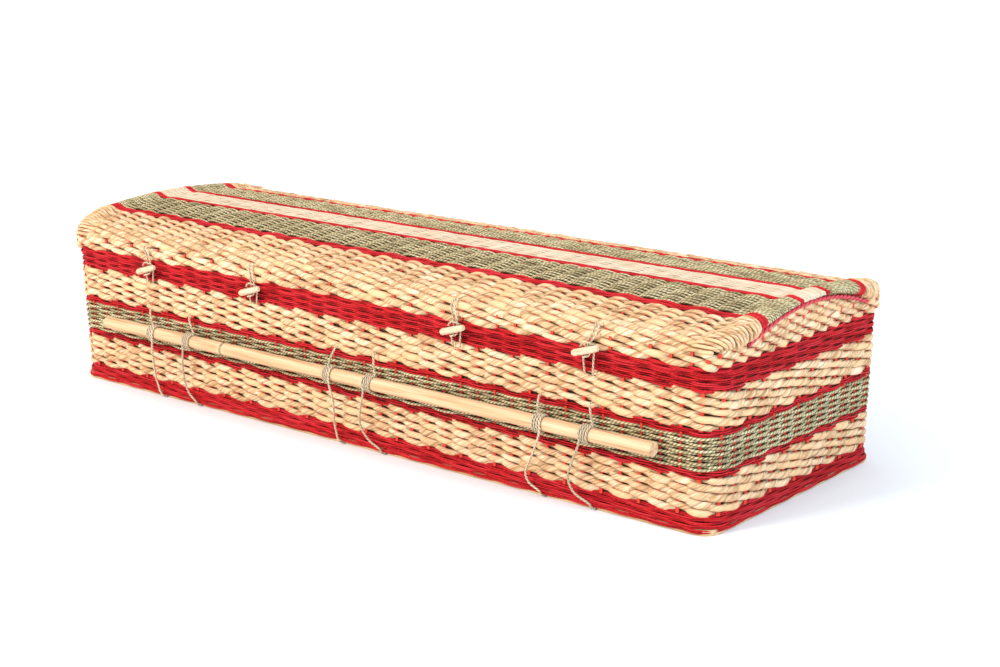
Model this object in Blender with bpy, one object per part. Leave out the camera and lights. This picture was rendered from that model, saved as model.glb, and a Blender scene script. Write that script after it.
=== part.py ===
"""Banana leaf coffin: a woven basket on a plywood board under a lift-off cambered lid.

The coffin lies along X with its origin at the bottom centre, and its front long side faces -Y.
The back long side repeats the front, turned half a turn about the upright axis.
"""

import math

import bmesh
import bpy
from mathutils import Vector

# Plan of the basket, as half sizes at floor level, and how far its walls lean out for each metre of height
BASE_HALF_LENGTH = 0.965
BASE_HALF_WIDTH = 0.3275
END_LEAN = 0.035
SIDE_LEAN = 0.012
CORNER_RADIUS = 0.060
CORNER_STEPS = 3
WALL = 0.016
GAP = 0.0003

# Plywood board under the basket, flush with the red cord above it and squarer at its corners
BOARD_THICKNESS = 0.012
BOARD_MARGIN = -0.002
BOARD_CORNER = 0.040
NOTCH_WIDTH = 0.012
NOTCH_DEPTH = 0.0135

# Heights of the woven bands of the basket, from the floor up
PLINTH_TOP = 0.041
LOWER_LEAF_TOP = 0.115
LOWER_PAIR_TOP = 0.131
SEAGRASS_TOP = 0.202
UPPER_PAIR_TOP = 0.2175
UPPER_LEAF_TOP = 0.2925
BASE_TOP = 0.3265

# How far each weave stands out from the nominal wall, and how deep the grooves between its rows are
CORD_STAND = -0.002
LEAF_STAND = 0.002
LEAF_GROOVE = 0.0045
CORD_GROOVE = 0.0020
BAND_LEAF_ROWS = 4

# Where the rounded crest of one woven row begins and ends, as shares of its height
CREST_LOW = 0.32
CREST_HIGH = 0.68

# Lid: rim, leaf rows that run all round it, and the elliptical camber that springs from them
LID_HALF_LENGTH = 0.975
LID_HALF_WIDTH = 0.335
LID_CORNER = 0.036
LID_WALL = 0.014
LID_RIM_TOP = 0.3435
LID_RIM_TAPER = 0.005
LID_RIM_BEND = 0.007
LID_SPRING = 0.3733
LID_RISE = 0.0652
SKIRT_ROWS = 2
SKIRT_STAND = 0.0015

# Edges of the lengthwise stripes on the lid, as distances from its centre line
CREAM_EDGE = 0.0425
INNER_PAIR_EDGE = 0.0600
SEAGRASS_EDGE = 0.1810
OUTER_PAIR_EDGE = 0.2043
LID_LEAF_ROWS = 7
LID_ROW_CREST = 0.0015
LID_ROW_HOLLOW = -0.0025
SHOULDER_BIAS = 2.5
LEAST_STEEPNESS = 0.35

# Rolled ends of the lid and the twisted cord below each roll
ROLL_START = 0.940
ROLL_DIP = 0.004
ROLL_FRONT = 0.9935
ROLL_FOOT_FRONT = 0.978
ROLL_FOOT_BACK = 0.958
ROLL_INNER = 0.955
END_CORD_RADIUS = 0.0045
END_CORD_X = 0.9817
END_CORD_CREST = 0.4200
END_CORD_BOW = 0.80
END_CORD_REACH = 0.235
ROLL_SEAT = 0.0010

# Outline of a rolled end from its foot to the flat top: distance from the middle, share of the roll's depth
ROLL_OUTLINE = (
    (ROLL_FOOT_BACK, 1.0),
    (ROLL_FOOT_FRONT, 1.0),
    (ROLL_FRONT - 0.0035, 0.80),
    (ROLL_FRONT, 0.48),
    (ROLL_FRONT - 0.0055, 0.20),
    (0.974, 0.015),
    (0.957, 0.0),
)

# Leaf rows under the twisted cord at each end of the lid
PANEL_REACH = 0.244
PANEL_COLUMNS = 8
PANEL_ROWS = 2
PANEL_SINK = 0.004
PANEL_CREST = -0.0002
PANEL_HOLLOW = -0.0035
PANEL_CLEARANCE = 0.0015

# Carrying poles
POLE_RADIUS = 0.0152
POLE_Y = -0.352
POLE_Z = 0.168
POLE_START = -0.827
POLE_END = 0.845

# Handle ropes: each leaves the wall, winds on the pole, hangs and goes under the board
ROPE_RADIUS = 0.00275
ROPE_STEP = 0.0163
WINDING_RADIUS = 0.0190
WINDING_INNER = 0.0156
WINDING_OUTER = 0.0220
WINDING_PITCH = 0.0058
WINDING_TURNS = 3.5
ROUND_SIDES = 12
ROPE_EXIT_Y = -0.3345
BOARD_EDGE_Y = -(BASE_HALF_WIDTH + BOARD_MARGIN)
LEG_STATION_Y = (-0.3690, -0.3600, -0.3480, -0.3420)

# Toggle pegs with their lid cords and base loops
PEG_RADIUS = 0.0072
PEG_LENGTH = 0.068
PEG_TILT = math.radians(17)
PEG_Y = -0.3512
TIE_RADIUS = 0.00225
TIE_STEP = 0.0134
TIE_ORBIT = 0.0124
LOOP_FOOT_Z = 0.2885
LOOP_FOOT_Y = -0.3362
STRAND_APART = 0.0045

LEAF = ((0.84, 0.66, 0.43), 0.62)
RED = ((0.62, 0.05, 0.06), 0.55)
SEAGRASS = ((0.44, 0.41, 0.27), 0.70)
CREAM = ((0.90, 0.80, 0.64), 0.60)
PLYWOOD = ((0.80, 0.58, 0.36), 0.65)
CANE = ((0.79, 0.53, 0.30), 0.45)
ROPE = ((0.74, 0.62, 0.42), 0.80)
PEG_WOOD = ((0.86, 0.76, 0.60), 0.60)


class RopeRoute:
    """One handle rope of the front pole, given by its stations along the pole."""

    def __init__(self, name, wall, first_turn, way, leg, foot):
        self.name = name
        self.wall = wall
        self.first_turn = first_turn
        self.last_turn = first_turn + way * WINDING_PITCH * WINDING_TURNS
        self.leg = leg
        self.foot = foot


FRONT_ROPES = (
    RopeRoute("1_left", (-0.667, 0.221), -0.652, 1,
              ((-0.634, 0.149), (-0.645, 0.112), (-0.653, 0.058), (-0.650, 0.030)), -0.640),
    RopeRoute("1_right", (-0.525, 0.223), -0.503, -1,
              ((-0.522, 0.149), (-0.535, 0.112), (-0.545, 0.064), (-0.537, 0.031)), -0.512),
    RopeRoute("2_left", (-0.035, 0.229), -0.051, 1,
              ((-0.031, 0.149), (-0.029, 0.112), (-0.038, 0.058), (-0.038, 0.030)), -0.030),
    RopeRoute("2_right", (0.084, 0.232), 0.092, -1,
              ((0.074, 0.149), (0.055, 0.100), (0.045, 0.060), (0.062, 0.031)), 0.098),
    RopeRoute("3_left", (0.549, 0.223), 0.551, 1,
              ((0.570, 0.149), (0.548, 0.105), (0.519, 0.056), (0.521, 0.030)), 0.552),
    RopeRoute("3_right", (0.680, 0.230), 0.692, -1,
              ((0.672, 0.149), (0.648, 0.104), (0.629, 0.064), (0.640, 0.032)), 0.682),
)

# Toggles on the front: name, centre of the peg (x, z), and where the lid cord starts (x, z)
FRONT_TOGGLES = (
    ("1", (-0.665, 0.3230), (-0.676, 0.379)),
    ("2", (-0.2995, 0.3225), (-0.304, 0.385)),
    ("3", (0.3225, 0.3275), (0.317, 0.391)),
    ("4", (0.6735, 0.3400), (0.688, 0.396)),
)


def clear_scene():
    """Remove every object that the file opened with."""
    for item in list(bpy.data.objects):
        bpy.data.objects.remove(item, do_unlink=True)


def make_material(name, look):
    """Return a Principled material of a base colour and roughness."""
    colour, roughness = look
    material = bpy.data.materials.new(name)
    material.use_nodes = True
    shader = material.node_tree.nodes["Principled BSDF"]
    shader.inputs["Base Color"].default_value = (*colour, 1.0)
    shader.inputs["Roughness"].default_value = roughness
    shader.inputs["Metallic"].default_value = 0.0
    return material


def link_mesh(name, mesh, material, parent=None, smooth_angle=35.0):
    """Put a mesh in the scene as one named object with its material."""
    item = bpy.data.objects.new(name, mesh)
    item.data.materials.append(material)
    bpy.context.collection.objects.link(item)
    item.parent = parent
    mesh.shade_smooth()
    mesh.set_sharp_from_angle(angle=math.radians(smooth_angle))
    return item


def finish_mesh(name, form):
    """Turn a bmesh into a mesh whose faces point out."""
    bmesh.ops.recalc_face_normals(form, faces=form.faces)
    mesh = bpy.data.meshes.new(name)
    form.to_mesh(mesh)
    form.free()
    return mesh


def bridge_rings(form, rings, closed=False):
    """Join each ring of corners to the next one, and the last to the first where the form is closed."""
    following_rings = rings[1:] + rings[:1] if closed else rings[1:]
    for first, second in zip(rings, following_rings):
        for index in range(len(first)):
            after = (index + 1) % len(first)
            form.faces.new((first[index], first[after], second[after], second[index]))


def add_empty(name, turn=0.0):
    """Add an empty that carries a group of pieces, turned about the upright axis."""
    empty = bpy.data.objects.new(name, None)
    empty.rotation_euler = (0.0, 0.0, turn)
    bpy.context.collection.objects.link(empty)
    return empty


def rounded_loop(half_length, half_width, radius):
    """Return the plan points of a rectangle with rounded corners, anticlockwise."""
    points = []
    for quarter, (side_x, side_y) in enumerate(((1, 1), (-1, 1), (-1, -1), (1, -1))):
        centre_x = side_x * (half_length - radius)
        centre_y = side_y * (half_width - radius)
        for step in range(CORNER_STEPS + 1):
            angle = math.radians(90.0) * (quarter + step / CORNER_STEPS)
            points.append((centre_x + radius * math.cos(angle), centre_y + radius * math.sin(angle)))
    return points


def row_profile(low, high, rows, stand, groove):
    """Return (stand, height) points of woven rows stacked between two heights."""
    points = [(stand - groove, low)]
    pitch = (high - low) / rows
    for row in range(rows):
        points.append((stand, low + pitch * (row + CREST_LOW)))
        points.append((stand, low + pitch * (row + CREST_HIGH)))
        points.append((stand - groove, low + pitch * (row + 1)))
    return points


def ring_mesh(name, outline, inner_stand, half_sizes, corner=CORNER_RADIUS):
    """Close a wall ring: its outer profile, its inner face, swept round the rounded plan."""
    low = outline[0][1]
    high = outline[-1][1]
    section = outline + [(inner_stand, high), (inner_stand, low)]
    form = bmesh.new()
    loops = []
    for stand, height in section:
        half_length, half_width = half_sizes(height)
        plan = rounded_loop(half_length + stand, half_width + stand, corner + stand)
        loops.append([form.verts.new((x, y, height)) for x, y in plan])
    bridge_rings(form, loops, closed=True)
    return finish_mesh(name, form)


def base_half_sizes(height):
    """Half length and half width of the basket at a height."""
    return BASE_HALF_LENGTH + END_LEAN * height, BASE_HALF_WIDTH + SIDE_LEAN * height


def lid_half_sizes(height):
    """Half length and half width of the lid, which has upright sides."""
    return LID_HALF_LENGTH, LID_HALF_WIDTH


def build_board(material, parent):
    """Plywood board with a notch and a groove where each rope goes under it."""
    form = bmesh.new()
    half_length = BASE_HALF_LENGTH + BOARD_MARGIN
    half_width = BASE_HALF_WIDTH + BOARD_MARGIN
    plan = rounded_loop(half_length, half_width, BOARD_CORNER)
    floor_face = form.faces.new([form.verts.new((x, y, 0.0)) for x, y in plan])
    raised = bmesh.ops.extrude_face_region(form, geom=[floor_face])
    top = [piece for piece in raised["geom"] if isinstance(piece, bmesh.types.BMVert)]
    bmesh.ops.translate(form, verts=top, vec=(0.0, 0.0, BOARD_THICKNESS))
    board = link_mesh("base_board", finish_mesh("base_board", form), material, parent)

    form = bmesh.new()
    spare = 0.004
    size = (NOTCH_WIDTH, NOTCH_DEPTH + spare, BOARD_THICKNESS + 2 * spare)
    for side in (1, -1):
        for rope in FRONT_ROPES:
            middle_y = BOARD_EDGE_Y + (NOTCH_DEPTH - spare) / 2
            box = bmesh.ops.create_cube(form, size=1.0)["verts"]
            bmesh.ops.scale(form, verts=box, vec=size)
            bmesh.ops.translate(form, verts=box, vec=(side * rope.foot, side * middle_y, BOARD_THICKNESS / 2))
    cutter = link_mesh("rope_notches", finish_mesh("rope_notches", form), material, parent)
    hide_helper(cutter)
    cut = board.modifiers.new("rope_notches", "BOOLEAN")
    cut.operation = "DIFFERENCE"
    cut.object = cutter
    cut.use_self = True


def hide_helper(item):
    """Keep a cutter or a joined part out of the finished model."""
    item.hide_render = True
    item.display_type = "WIRE"


def build_base_bands(materials, parent):
    """Seven woven bands, each a closed ring that rests on the one below."""
    leaf = (BAND_LEAF_ROWS, LEAF_STAND, LEAF_GROOVE)
    plain = (1, CORD_STAND, CORD_GROOVE)
    bands = (
        ("band_red_plinth", BOARD_THICKNESS, PLINTH_TOP, plain, "red"),
        ("band_leaf_lower", PLINTH_TOP, LOWER_LEAF_TOP, leaf, "leaf"),
        ("band_red_lower", LOWER_LEAF_TOP, LOWER_PAIR_TOP, plain, "red"),
        ("band_seagrass", LOWER_PAIR_TOP, SEAGRASS_TOP, plain, "seagrass"),
        ("band_red_upper", SEAGRASS_TOP, UPPER_PAIR_TOP, plain, "red"),
        ("band_leaf_upper", UPPER_PAIR_TOP, UPPER_LEAF_TOP, leaf, "leaf"),
        ("band_red_rim", UPPER_LEAF_TOP, BASE_TOP, plain, "red"),
    )
    for name, low, high, (rows, stand, groove), colour in bands:
        outline = row_profile(low + GAP, high, rows, stand, groove)
        link_mesh(name, ring_mesh(name, outline, -WALL, base_half_sizes), materials[colour], parent)


def end_cord_height(y):
    """Height of the twisted cord that follows the camber across each end of the lid."""
    return END_CORD_CREST - END_CORD_BOW * y * y


def lid_point(angle, stand=0.0):
    """Return (y, z) on the lid's camber, angle measured from the front spring line."""
    half_width = LID_HALF_WIDTH + stand
    rise = LID_RISE + stand
    return -half_width * math.cos(angle), LID_SPRING + rise * math.sin(angle)


def angle_at(y):
    """Angle on the camber at a distance y from the centre line."""
    return math.acos(max(-1.0, min(1.0, -y / LID_HALF_WIDTH)))


def corner_inset(y):
    """How far the rounded plan corner pulls the lid's end back at a distance y."""
    past = abs(y) - (LID_HALF_WIDTH - LID_CORNER)
    if past <= 0.0:
        return 0.0
    past = min(past, LID_CORNER)
    return LID_CORNER - math.sqrt(LID_CORNER ** 2 - past ** 2)


class LidSection:
    """Cross-cut of a lid stripe along the lid: shell, rolled ends and the fold under each roll."""

    def __init__(self, y, z, tilt, stand):
        self.down = Vector((0.0, math.sin(tilt) * (1 if y < 0 else -1), -math.cos(tilt)))
        self.top = Vector((0.0, y, z)) - self.down * stand
        self.inset = corner_inset(y)
        steep = max(math.cos(tilt), LEAST_STEEPNESS)
        depth = LID_WALL
        for _ in range(4):
            foot_y = abs(y) - math.sin(tilt) * depth
            seat = max(end_cord_height(foot_y) + END_CORD_RADIUS + ROLL_SEAT, LID_SPRING)
            depth = max(LID_WALL, (z - seat) / steep)
        self.foot = depth + stand

    def point(self, x, depth, side):
        """Return a point of the section at a distance x from the middle and a depth below the top."""
        place = self.top + self.down * depth
        return Vector((side * (x - self.inset), place.y, place.z))

    def points(self):
        """Return the closed section, clockwise seen from the front."""
        end = [(ROLL_INNER, LID_WALL)]
        end += [(x, self.foot * share) for x, share in ROLL_OUTLINE]
        end += [(ROLL_START, ROLL_DIP)]
        right = [self.point(x, depth, 1) for x, depth in end]
        left = [self.point(x, depth, -1) for x, depth in reversed(end)]
        return right + left


def stripe_mesh(name, sections):
    """Sweep a row of lid sections into one closed stripe."""
    form = bmesh.new()
    rings = [[form.verts.new(point) for point in section.points()] for section in sections]
    bridge_rings(form, rings)
    form.faces.new(rings[0])
    form.faces.new(list(reversed(rings[-1])))
    return finish_mesh(name, form)


def flat_sections(low, high, steps):
    """Sections of a finely woven stripe between two distances from the centre line."""
    sections = []
    for step in range(steps + 1):
        y = low + (high - low) * step / steps
        sections.append(LidSection(y, lid_point(angle_at(y))[1], 0.0, 0.0))
    return sections


def leaf_sections(side):
    """Sections of a leaf stripe, from the outer red pair over the shoulder to the spring line."""
    start = angle_at(-OUTER_PAIR_EDGE - GAP)
    samples = 60
    arc = [lid_point(start * (1 - step / samples)) for step in range(samples + 1)]
    lengths = [0.0]
    for here, there in zip(arc, arc[1:]):
        lengths.append(lengths[-1] + math.dist(here, there))
    sections = []
    stations = 2 * LID_LEAF_ROWS
    for step in range(stations + 1):
        share = step / stations
        target = share * lengths[-1]
        index = max(i for i, length in enumerate(lengths) if length <= target + 1e-9)
        y, z = arc[index]
        if index < samples:
            part = (target - lengths[index]) / (lengths[index + 1] - lengths[index])
            y += (arc[index + 1][0] - y) * part
            z += (arc[index + 1][1] - z) * part
        tilt = math.radians(90.0) * share ** SHOULDER_BIAS
        stand = LID_ROW_CREST if step % 2 else LID_ROW_HOLLOW
        if step in (0, stations):
            stand = 0.0
        sections.append(LidSection(-side * y, z, tilt, stand))
    return sections


def build_lid_stripes(materials, parent):
    """Nine lengthwise stripes of the lid, from the front leaf stripe to the back one."""
    fine = (
        ("cream", -CREAM_EDGE, CREAM_EDGE, 2, "cream"),
        ("red_inner", CREAM_EDGE + GAP, INNER_PAIR_EDGE, 1, "red"),
        ("seagrass", INNER_PAIR_EDGE + GAP, SEAGRASS_EDGE, 3, "seagrass"),
        ("red_outer", SEAGRASS_EDGE + GAP, OUTER_PAIR_EDGE, 1, "red"),
    )
    for stripe, near, far, steps, colour in fine:
        sides = (("", 1),) if stripe == "cream" else (("_front", -1), ("_back", 1))
        for suffix, side in sides:
            name = f"lid_{stripe}{suffix}"
            low, high = sorted((side * near, side * far))
            link_mesh(name, stripe_mesh(name, flat_sections(low, high, steps)), materials[colour], parent)
    for suffix, side in (("_front", -1), ("_back", 1)):
        name = f"lid_leaf{suffix}"
        link_mesh(name, stripe_mesh(name, leaf_sections(side)), materials["leaf"], parent)


def end_panel_mesh(side):
    """Leaf rows that fill one end of the lid below its twisted cord."""
    stations = 2 * PANEL_ROWS
    form = bmesh.new()
    fronts = []
    backs = []
    foot = LID_SPRING - GAP - PANEL_SINK
    for column in range(PANEL_COLUMNS + 1):
        y = PANEL_REACH * (2 * column / PANEL_COLUMNS - 1)
        head = max(end_cord_height(y) + END_CORD_RADIUS - PANEL_CLEARANCE, LID_SPRING - GAP)
        line = []
        for row in range(stations + 1):
            z = foot + (head - foot) * row / stations
            stand = PANEL_CREST if row % 2 else PANEL_HOLLOW
            line.append(form.verts.new((side * (LID_HALF_LENGTH + stand), y, z)))
        fronts.append(line)
        inner_x = side * (LID_HALF_LENGTH - LID_WALL + PANEL_CLEARANCE)
        backs.append([form.verts.new((inner_x, y, z)) for z in (foot, head)])
    for near, far, inner_near, inner_far in zip(fronts, fronts[1:], backs, backs[1:]):
        for row in range(stations):
            form.faces.new((near[row], far[row], far[row + 1], near[row + 1]))
        form.faces.new((inner_near[0], inner_near[1], inner_far[1], inner_far[0]))
        form.faces.new((near[-1], far[-1], inner_far[1], inner_near[1]))
        form.faces.new((near[0], inner_near[0], inner_far[0], far[0]))
    form.faces.new(fronts[0] + list(reversed(backs[0])))
    form.faces.new(list(reversed(fronts[-1])) + backs[-1])
    return finish_mesh("end_panel", form)


def build_lid_rim(materials, parent):
    """Red rim, the leaf rows that run round the lid, and the cord across each end."""
    rim = [(CORD_STAND - LID_RIM_TAPER, BASE_TOP + GAP), (CORD_STAND, BASE_TOP + LID_RIM_BEND),
           (CORD_STAND, LID_RIM_TOP)]
    link_mesh("lid_red_rim", ring_mesh("lid_red_rim", rim, -LID_WALL, lid_half_sizes),
              materials["red"], parent)
    rows = row_profile(LID_RIM_TOP + GAP, LID_SPRING - GAP, SKIRT_ROWS, SKIRT_STAND, LEAF_GROOVE)
    skirt = link_mesh("lid_leaf_skirt", ring_mesh("lid_leaf_skirt", rows, -LID_WALL, lid_half_sizes, LID_CORNER),
                      materials["leaf"], parent)
    for label, side in (("right", 1), ("left", -1)):
        panel = link_mesh(f"end_rows_{label}", end_panel_mesh(side), materials["leaf"], parent)
        hide_helper(panel)
        union = skirt.modifiers.new(f"end_rows_{label}", "BOOLEAN")
        union.operation = "UNION"
        union.object = panel
        steps = 7
        points = []
        for step in range(steps + 1):
            y = END_CORD_REACH * (2 * step / steps - 1)
            points.append(Vector((side * END_CORD_X, y, end_cord_height(y))))
        link_tube(f"lid_end_cord_{label}", points, END_CORD_RADIUS, materials["red"], parent)


def link_tube(name, points, radius, material, parent=None):
    """Add a round cord as a curve with filled ends."""
    curve = bpy.data.curves.new(name, "CURVE")
    curve.dimensions = "3D"
    curve.bevel_depth = radius
    curve.bevel_resolution = 2
    curve.use_fill_caps = True
    curve.twist_mode = "MINIMUM"
    spline = curve.splines.new("POLY")
    spline.points.add(len(points) - 1)
    for target, point in zip(spline.points, points):
        target.co = (*point, 1.0)
    curve.materials.append(material)
    item = bpy.data.objects.new(name, curve)
    bpy.context.collection.objects.link(item)
    item.parent = parent
    return item


def curve_point(before, start, end, after, share):
    """Point of a Catmull-Rom curve between two of its route points."""
    square = share * share
    cube = square * share
    return 0.5 * (2 * start + (end - before) * share
                  + (2 * before - 5 * start + 4 * end - after) * square
                  + (3 * start - before - 3 * end + after) * cube)


def smooth_route(route, step):
    """Read points about a step apart from a smooth curve through a cord's route."""
    route = [Vector(point) for point in route]
    padded = [2 * route[0] - route[1]] + route + [2 * route[-1] - route[-2]]
    samples = [route[0]]
    fineness = 16
    for index in range(1, len(padded) - 2):
        for share in range(1, fineness + 1):
            samples.append(curve_point(*padded[index - 1:index + 3], share / fineness))
    lengths = [0.0]
    for here, there in zip(samples, samples[1:]):
        lengths.append(lengths[-1] + (there - here).length)
    count = max(2, round(lengths[-1] / step))
    points = []
    index = 0
    for number in range(count + 1):
        target = lengths[-1] * number / count
        while index < len(lengths) - 2 and lengths[index + 1] < target:
            index += 1
        span = lengths[index + 1] - lengths[index]
        points.append(samples[index].lerp(samples[index + 1], (target - lengths[index]) / span))
    return points


def winding_point(x, degrees):
    """Point of a rope's centre line on the pole; 0 degrees faces the wall and 90 faces up."""
    angle = math.radians(degrees)
    return x, POLE_Y + WINDING_RADIUS * math.cos(angle), POLE_Z + WINDING_RADIUS * math.sin(angle)


def upper_rope_route(rope):
    """Route of a handle rope out of the wall and over the pole into its winding."""
    wall_x, wall_z = rope.wall
    middle = (wall_x + rope.first_turn) / 2
    return [
        (wall_x, ROPE_EXIT_Y, wall_z),
        (wall_x, ROPE_EXIT_Y - 0.007, wall_z - 0.002),
        (middle, ROPE_EXIT_Y - 0.0125, (wall_z + POLE_Z + WINDING_RADIUS) / 2),
        winding_point(rope.first_turn, 80),
        winding_point(rope.first_turn, 108),
    ]


def lower_rope_route(rope):
    """Route of a handle rope from the front of its winding, down the wall and under the board."""
    route = [winding_point(rope.last_turn, 168), winding_point(rope.last_turn, 188)]
    for (x, z), y in zip(rope.leg, LEG_STATION_Y):
        route.append((x, y, z))
    route += [
        (rope.foot - 0.005, -0.3397, 0.0160),
        (rope.foot, BOARD_EDGE_Y - 0.0015, 0.0068),
        (rope.foot, BOARD_EDGE_Y + 0.0045, 0.0042),
        (rope.foot, BOARD_EDGE_Y + 0.0120, 0.0042),
    ]
    return route


def shoulder_route(x, z):
    """Points that carry a lid cord from a leaf row over the lid's shoulder."""
    stand = 0.0015 + TIE_RADIUS + 0.0012
    start = math.asin((z - LID_SPRING) / (LID_RISE + stand))
    route = [(x, *lid_point(start * share, stand + 0.0012 * (1 - share))) for share in (1.0, 0.5, 0.0)]
    return route


def round_peg(peg, offset, degrees, orbit=TIE_ORBIT):
    """Point beside a tilted peg, offset along X; 0 degrees faces the wall and 90 faces up."""
    angle = math.radians(degrees)
    axis_z = peg[1] + offset * math.tan(PEG_TILT)
    return peg[0] + offset, PEG_Y + orbit * math.cos(angle), axis_z + orbit * math.sin(angle)


def lid_cord_route(peg, start):
    """Both strands of a lid cord: down behind the peg, under it and back up."""
    strands = []
    for side in (-1, 1):
        strand = shoulder_route(start[0] + side * STRAND_APART, start[1])
        strand += [
            (peg[0] + side * STRAND_APART, -0.3412, max(peg[1] + 0.0140, 0.3520)),
            round_peg(peg, side * STRAND_APART, 15),
            round_peg(peg, side * STRAND_APART, -25),
            round_peg(peg, side * 0.0066, -70),
        ]
        strands.append(strand)
    return strands[0] + [round_peg(peg, 0.0, -108, TIE_ORBIT + 0.0005)] + strands[1][::-1]


def base_loop_route(peg):
    """Loop of the base: up behind the peg, over in front of the lid cord and back down."""
    legs = []
    for side in (-1, 1):
        legs.append([
            (peg[0] + side * 0.0095, LOOP_FOOT_Y, LOOP_FOOT_Z),
            (peg[0] + side * 0.0105, LOOP_FOOT_Y - 0.0020, LOOP_FOOT_Z + 0.007),
            round_peg(peg, side * 0.0140, -20),
            round_peg(peg, side * 0.0145, 25),
            round_peg(peg, side * 0.0125, 75),
        ])
    return legs[0] + [(peg[0], PEG_Y - 0.0010, peg[1] + 0.0185)] + legs[1][::-1]


def round_rings(form, stations, sides):
    """Return a ring of corners about the X axis for each (distance, radius) station."""
    rings = []
    for distance, radius in stations:
        ring = []
        for side in range(sides):
            angle = math.tau * side / sides
            ring.append(form.verts.new((distance, radius * math.cos(angle), radius * math.sin(angle))))
        rings.append(ring)
    return rings


def turned_mesh(name, stations, sides):
    """Turn (distance, radius) stations about the X axis into a closed round piece."""
    form = bmesh.new()
    rings = round_rings(form, stations, sides)
    bridge_rings(form, rings)
    form.faces.new(rings[0])
    form.faces.new(list(reversed(rings[-1])))
    return finish_mesh(name, form)


def winding_mesh(rope):
    """Closed sleeve with the outer shape of a rope's turns on the pole."""
    half = abs(rope.last_turn - rope.first_turn) / 2 + ROPE_RADIUS
    soft = 0.0016
    section = (
        (-half, WINDING_INNER),
        (soft - half, WINDING_OUTER),
        (half - soft, WINDING_OUTER),
        (half, WINDING_INNER),
    )
    form = bmesh.new()
    bridge_rings(form, round_rings(form, section, ROUND_SIDES), closed=True)
    return finish_mesh("winding", form)


def build_rope(name, rope, material, side):
    """Handle rope: its turns on the pole joined to the stretches above and below them."""
    winding = link_mesh(name, winding_mesh(rope), material, side)
    middle = Vector(((rope.first_turn + rope.last_turn) / 2, POLE_Y, POLE_Z))
    winding.location = middle
    for label, route in (("upper", upper_rope_route(rope)), ("lower", lower_rope_route(rope))):
        points = [point - middle for point in smooth_route(route, ROPE_STEP)]
        curve = link_tube(f"{name}_{label}_curve", points, ROPE_RADIUS, material, winding)
        hide_helper(curve)
        tube_mesh = bpy.data.meshes.new_from_object(curve)
        tube = link_mesh(f"{name}_{label}", tube_mesh, material, winding)
        hide_helper(tube)
        union = winding.modifiers.new(label, "BOOLEAN")
        union.operation = "UNION"
        union.object = tube


def build_side(label, turn, materials):
    """Pole, ropes and toggles of one long side, carried by an empty turned to face it."""
    side = add_empty(f"side_{label}", turn=turn)
    length = POLE_END - POLE_START
    stations = ((0.0, POLE_RADIUS * 0.62), (0.003, POLE_RADIUS * 0.86), (0.010, POLE_RADIUS),
                (length - 0.0015, POLE_RADIUS), (length, POLE_RADIUS * 0.93))
    pole = link_mesh(f"pole_{label}", turned_mesh("pole", stations, ROUND_SIDES), materials["cane"], side)
    pole.location = (POLE_START, POLE_Y, POLE_Z)
    for rope in FRONT_ROPES:
        build_rope(f"rope_{label}_{rope.name}", rope, materials["rope"], side)
    stations = ((0.0, PEG_RADIUS * 0.60), (0.005, PEG_RADIUS), (PEG_LENGTH, PEG_RADIUS * 0.94))
    for number, peg, start in FRONT_TOGGLES:
        item = link_mesh(f"toggle_{label}_{number}", turned_mesh("toggle", stations, 8),
                         materials["peg"], side)
        along = Vector((math.cos(PEG_TILT), 0.0, math.sin(PEG_TILT)))
        item.location = Vector((peg[0], PEG_Y, peg[1])) - along * PEG_LENGTH / 2
        item.rotation_euler = (0.0, -PEG_TILT, 0.0)
        link_tube(f"lid_cord_{label}_{number}", smooth_route(lid_cord_route(peg, start), TIE_STEP),
                  TIE_RADIUS, materials["rope"], side)
        link_tube(f"base_loop_{label}_{number}", smooth_route(base_loop_route(peg), TIE_STEP),
                  TIE_RADIUS, materials["rope"], side)


def main():
    """Build the coffin from the board up."""
    clear_scene()
    looks = {"leaf": LEAF, "red": RED, "seagrass": SEAGRASS, "cream": CREAM, "plywood": PLYWOOD,
             "cane": CANE, "rope": ROPE, "peg": PEG_WOOD}
    materials = {name: make_material(name, look) for name, look in looks.items()}
    base = add_empty("base")
    lid = add_empty("lid")
    build_board(materials["plywood"], base)
    build_base_bands(materials, base)
    build_lid_rim(materials, lid)
    build_lid_stripes(materials, lid)
    build_side("front", 0.0, materials)
    build_side("back", math.pi, materials)


main()
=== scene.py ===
"""Looks of the banana leaf coffin: woven basket, cambered lid, carrying poles, handle ropes and toggle ties.

The coffin lies along X and its front long side faces -Y. The back repeats the front, turned half a turn.
"""

import logging
import math
import random
from bisect import bisect_left
from dataclasses import dataclass, field, replace
from enum import Enum
from typing import Callable, Iterable, NamedTuple, Sequence

import bmesh
import bpy
from bpy.types import Material, Mesh, Node, NodeSocket, NodeTree, Object
from mathutils import Matrix, Vector


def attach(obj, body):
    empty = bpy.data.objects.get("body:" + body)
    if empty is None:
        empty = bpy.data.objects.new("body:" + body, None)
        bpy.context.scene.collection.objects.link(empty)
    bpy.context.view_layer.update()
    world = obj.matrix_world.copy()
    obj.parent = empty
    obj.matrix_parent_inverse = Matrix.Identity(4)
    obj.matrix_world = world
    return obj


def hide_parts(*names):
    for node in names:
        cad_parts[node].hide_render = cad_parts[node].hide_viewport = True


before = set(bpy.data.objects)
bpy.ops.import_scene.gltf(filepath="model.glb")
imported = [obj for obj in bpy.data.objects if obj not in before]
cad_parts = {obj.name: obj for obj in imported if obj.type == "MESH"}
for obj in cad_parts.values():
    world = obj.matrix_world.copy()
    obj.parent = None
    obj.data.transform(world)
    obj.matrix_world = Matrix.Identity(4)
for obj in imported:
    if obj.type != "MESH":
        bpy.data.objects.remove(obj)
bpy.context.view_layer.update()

log = logging.getLogger("coffin")

UP = Vector((0.0, 0.0, 1.0))
ALONG = Vector((1.0, 0.0, 0.0))

Colour = tuple[float, float, float]


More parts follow.
